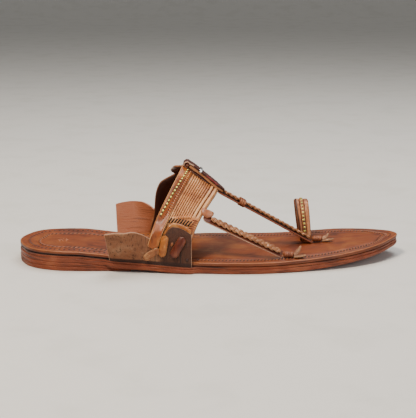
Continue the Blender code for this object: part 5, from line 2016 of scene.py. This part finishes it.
@dataclass
class ToeLoop:
    """Arch for the big toe: strap with a raised rib and a row of gilt foil."""

    width: float = 0.0092
    span: float = 0.0280
    height: float = 0.0278
    thickness: float = 0.0018
    rib: float = 0.0008
    share: float = 0.757
    side: float = 0.0310
    lean: float = 0.0030
    stations: int = 48
    slit_pitch: float = 0.0013
    # Columns: place across, rise of the rib, darkness painted there: painted shade in the troughs beside the rib, and
    # a darker rear edge
    section: Rows = (
        (-0.50, 0.15, 1.0), (-0.44, 0.35, 0.9), (-0.36, 0.35, 0.3), (-0.24, 0.25, 0.2), (-0.19, -0.2, 1.0),
        (-0.15, 0.5, 0.5), (-0.10, 1.0, 0.0), (0.0, 1.0, 0.0), (0.10, 1.0, 0.0), (0.15, 0.5, 0.5),
        (0.19, -0.2, 1.0), (0.24, 0.25, 0.2), (0.34, 0.35, 0.0), (0.44, 0.35, 0.0), (0.50, 0.15, 0.0),
    )

    def centre(self, angle: float) -> Vector:
        """Point of the arch's middle line.

        Args:
            angle: Angle from the medial foot, in radians.

        Returns:
            The point.
        """
        x = SOLE.place(self.share)
        rise = math.sin(angle)
        return Vector((x - self.lean * rise, self.side + math.cos(angle) * self.span / 2,
                       SOLE.insole_top(x) + CLEARANCE * 2 + self.height * rise))

    def build(self) -> None:
        """Builds the loop and its foil."""
        grid = []
        for k in range(self.stations + 1):
            angle = math.pi * k / self.stations
            centre, wide = self.centre(angle), self.width * mix(0.78, 1.0, math.sin(angle))
            grid.append([centre + Vector((w * wide, 0, 0)) for w, _, _ in self.section])
        half = self.thickness / 2
        rows = self.section
        obj = Bench.slab("toe_loop_strap", grid, lambda i, j: half + self.rib * rows[j][1], lambda i, j: half,
                         lambda i, j: rows[j][2])
        Bench.finish(obj, TOE_LEATHER, Slot.BAND, "toe_loop", angle=60.0)
        line = [self.centre(math.pi * mix(0.03, 0.97, k / 80)) for k in range(81)]
        middle = Vector((SOLE.place(self.share), self.side, SOLE.insole_top(SOLE.place(self.share)) + 0.008))
        frames: tuple[list[Matrix], list[Matrix]] = ([], [])
        for n, (p, t) in enumerate(walk(line, self.slit_pitch)):
            up = Vector((0, (p - middle).y, (p - middle).z)).normalized()
            frames[n % 2].append(stand(p + up * (half + self.rib), t, up))
        Bench.scatter("toe_loop_gilt", (0.0018, 0.0018, 0.0008), frames[0], GILT, Slot.METAL)
        # Dark beads between the gilt pieces: painted shade in the slits
        Bench.scatter("toe_loop_slits", (0.0008, 0.0022, 0.0006), frames[1], DARK_THREAD_AND_SLIT_SHADE, Slot.BAND)


@dataclass
class Studio:
    """Plain pale floor, soft light and the camera at the photograph's angle."""

    camera_at: tuple[float, float, float] = (0.1038, -0.8210, 0.2200)
    camera_pitch: float = 77.485
    lens: float = 98.04
    sensor: float = 36
    world_strength: float = 0.28

    def floor(self) -> None:
        """Pale floor that sweeps up far behind."""
        bpy.ops.object.select_all(action="DESELECT")
        bpy.ops.mesh.primitive_grid_add(x_subdivisions=4, y_subdivisions=24, size=2)
        obj = bpy.context.active_object
        obj.name = "studio_floor"
        for v in obj.data.vertices:
            t = (v.co.y + 1) / 2
            out = max(0.0, t - 0.6) / 0.4
            v.co = Vector((v.co.x * 6, mix(-4, 3, min(t, 0.6) / 0.6) + math.sin(out * math.pi / 2) * 2,
                           (1 - math.cos(out * math.pi / 2)) * 4))
        bpy.ops.object.shade_smooth()
        paper = Trim("pale_paper", "#D9D6CF", "#D3D0C8", 0.85, 0.0, 0.05, 0.00001)
        obj.data.materials.append(paper.make())

    def light(self, name: str, at: tuple[float, float, float], size: float, power: float, colour: str) -> None:
        """One soft box aimed at the sandal.

        Args:
            name: Lamp's name.
            at: Its place.
            size: Its breadth.
            power: Its power, in watts.
            colour: Its colour.
        """
        bpy.ops.object.select_all(action="DESELECT")
        bpy.ops.object.light_add(type="AREA", location=at)
        lamp = bpy.context.active_object
        lamp.name = name
        lamp.data.size = size
        lamp.data.energy = power
        lamp.data.color = linear(colour)[:3]
        lamp.rotation_euler = (Vector((0.10, 0, 0.02)) - Vector(at)).to_track_quat("-Z", "Y").to_euler()

    def build(self) -> None:
        """Builds the set."""
        self.floor()
        self.light("key_soft_box", (-0.30, -0.48, 1.10), 0.30, 17, "#FFF1E0")
        self.light("top_soft_box", (0.30, 0.35, 1.15), 0.9, 12, "#FFFFFF")
        self.light("fill_soft_box", (0.95, -0.85, 0.45), 0.8, 5, "#F2F6FF")
        world = bpy.data.worlds.new("studio")
        world.use_nodes = True
        world.node_tree.nodes["Background"].inputs["Color"].default_value = linear("#EEF0F2")
        world.node_tree.nodes["Background"].inputs["Strength"].default_value = self.world_strength
        bpy.context.scene.world = world
        bpy.ops.object.camera_add(location=self.camera_at, rotation=(math.radians(self.camera_pitch), 0, 0))
        camera = bpy.context.active_object
        camera.name = "camera"
        camera.data.lens = self.lens
        camera.data.sensor_width = self.sensor
        bpy.context.scene.camera = camera


def main() -> None:
    """Builds each sub-assembly in order."""
    logging.basicConfig(level=logging.INFO, format="%(name)s: %(message)s")
    for part in (Studio(), SoleStack(), InstepBand(), Ears(), Straps(), ToeLoop()):
        LOG.info("building %s", type(part).__name__)
        part.build()


if __name__ == "__main__":
    main()
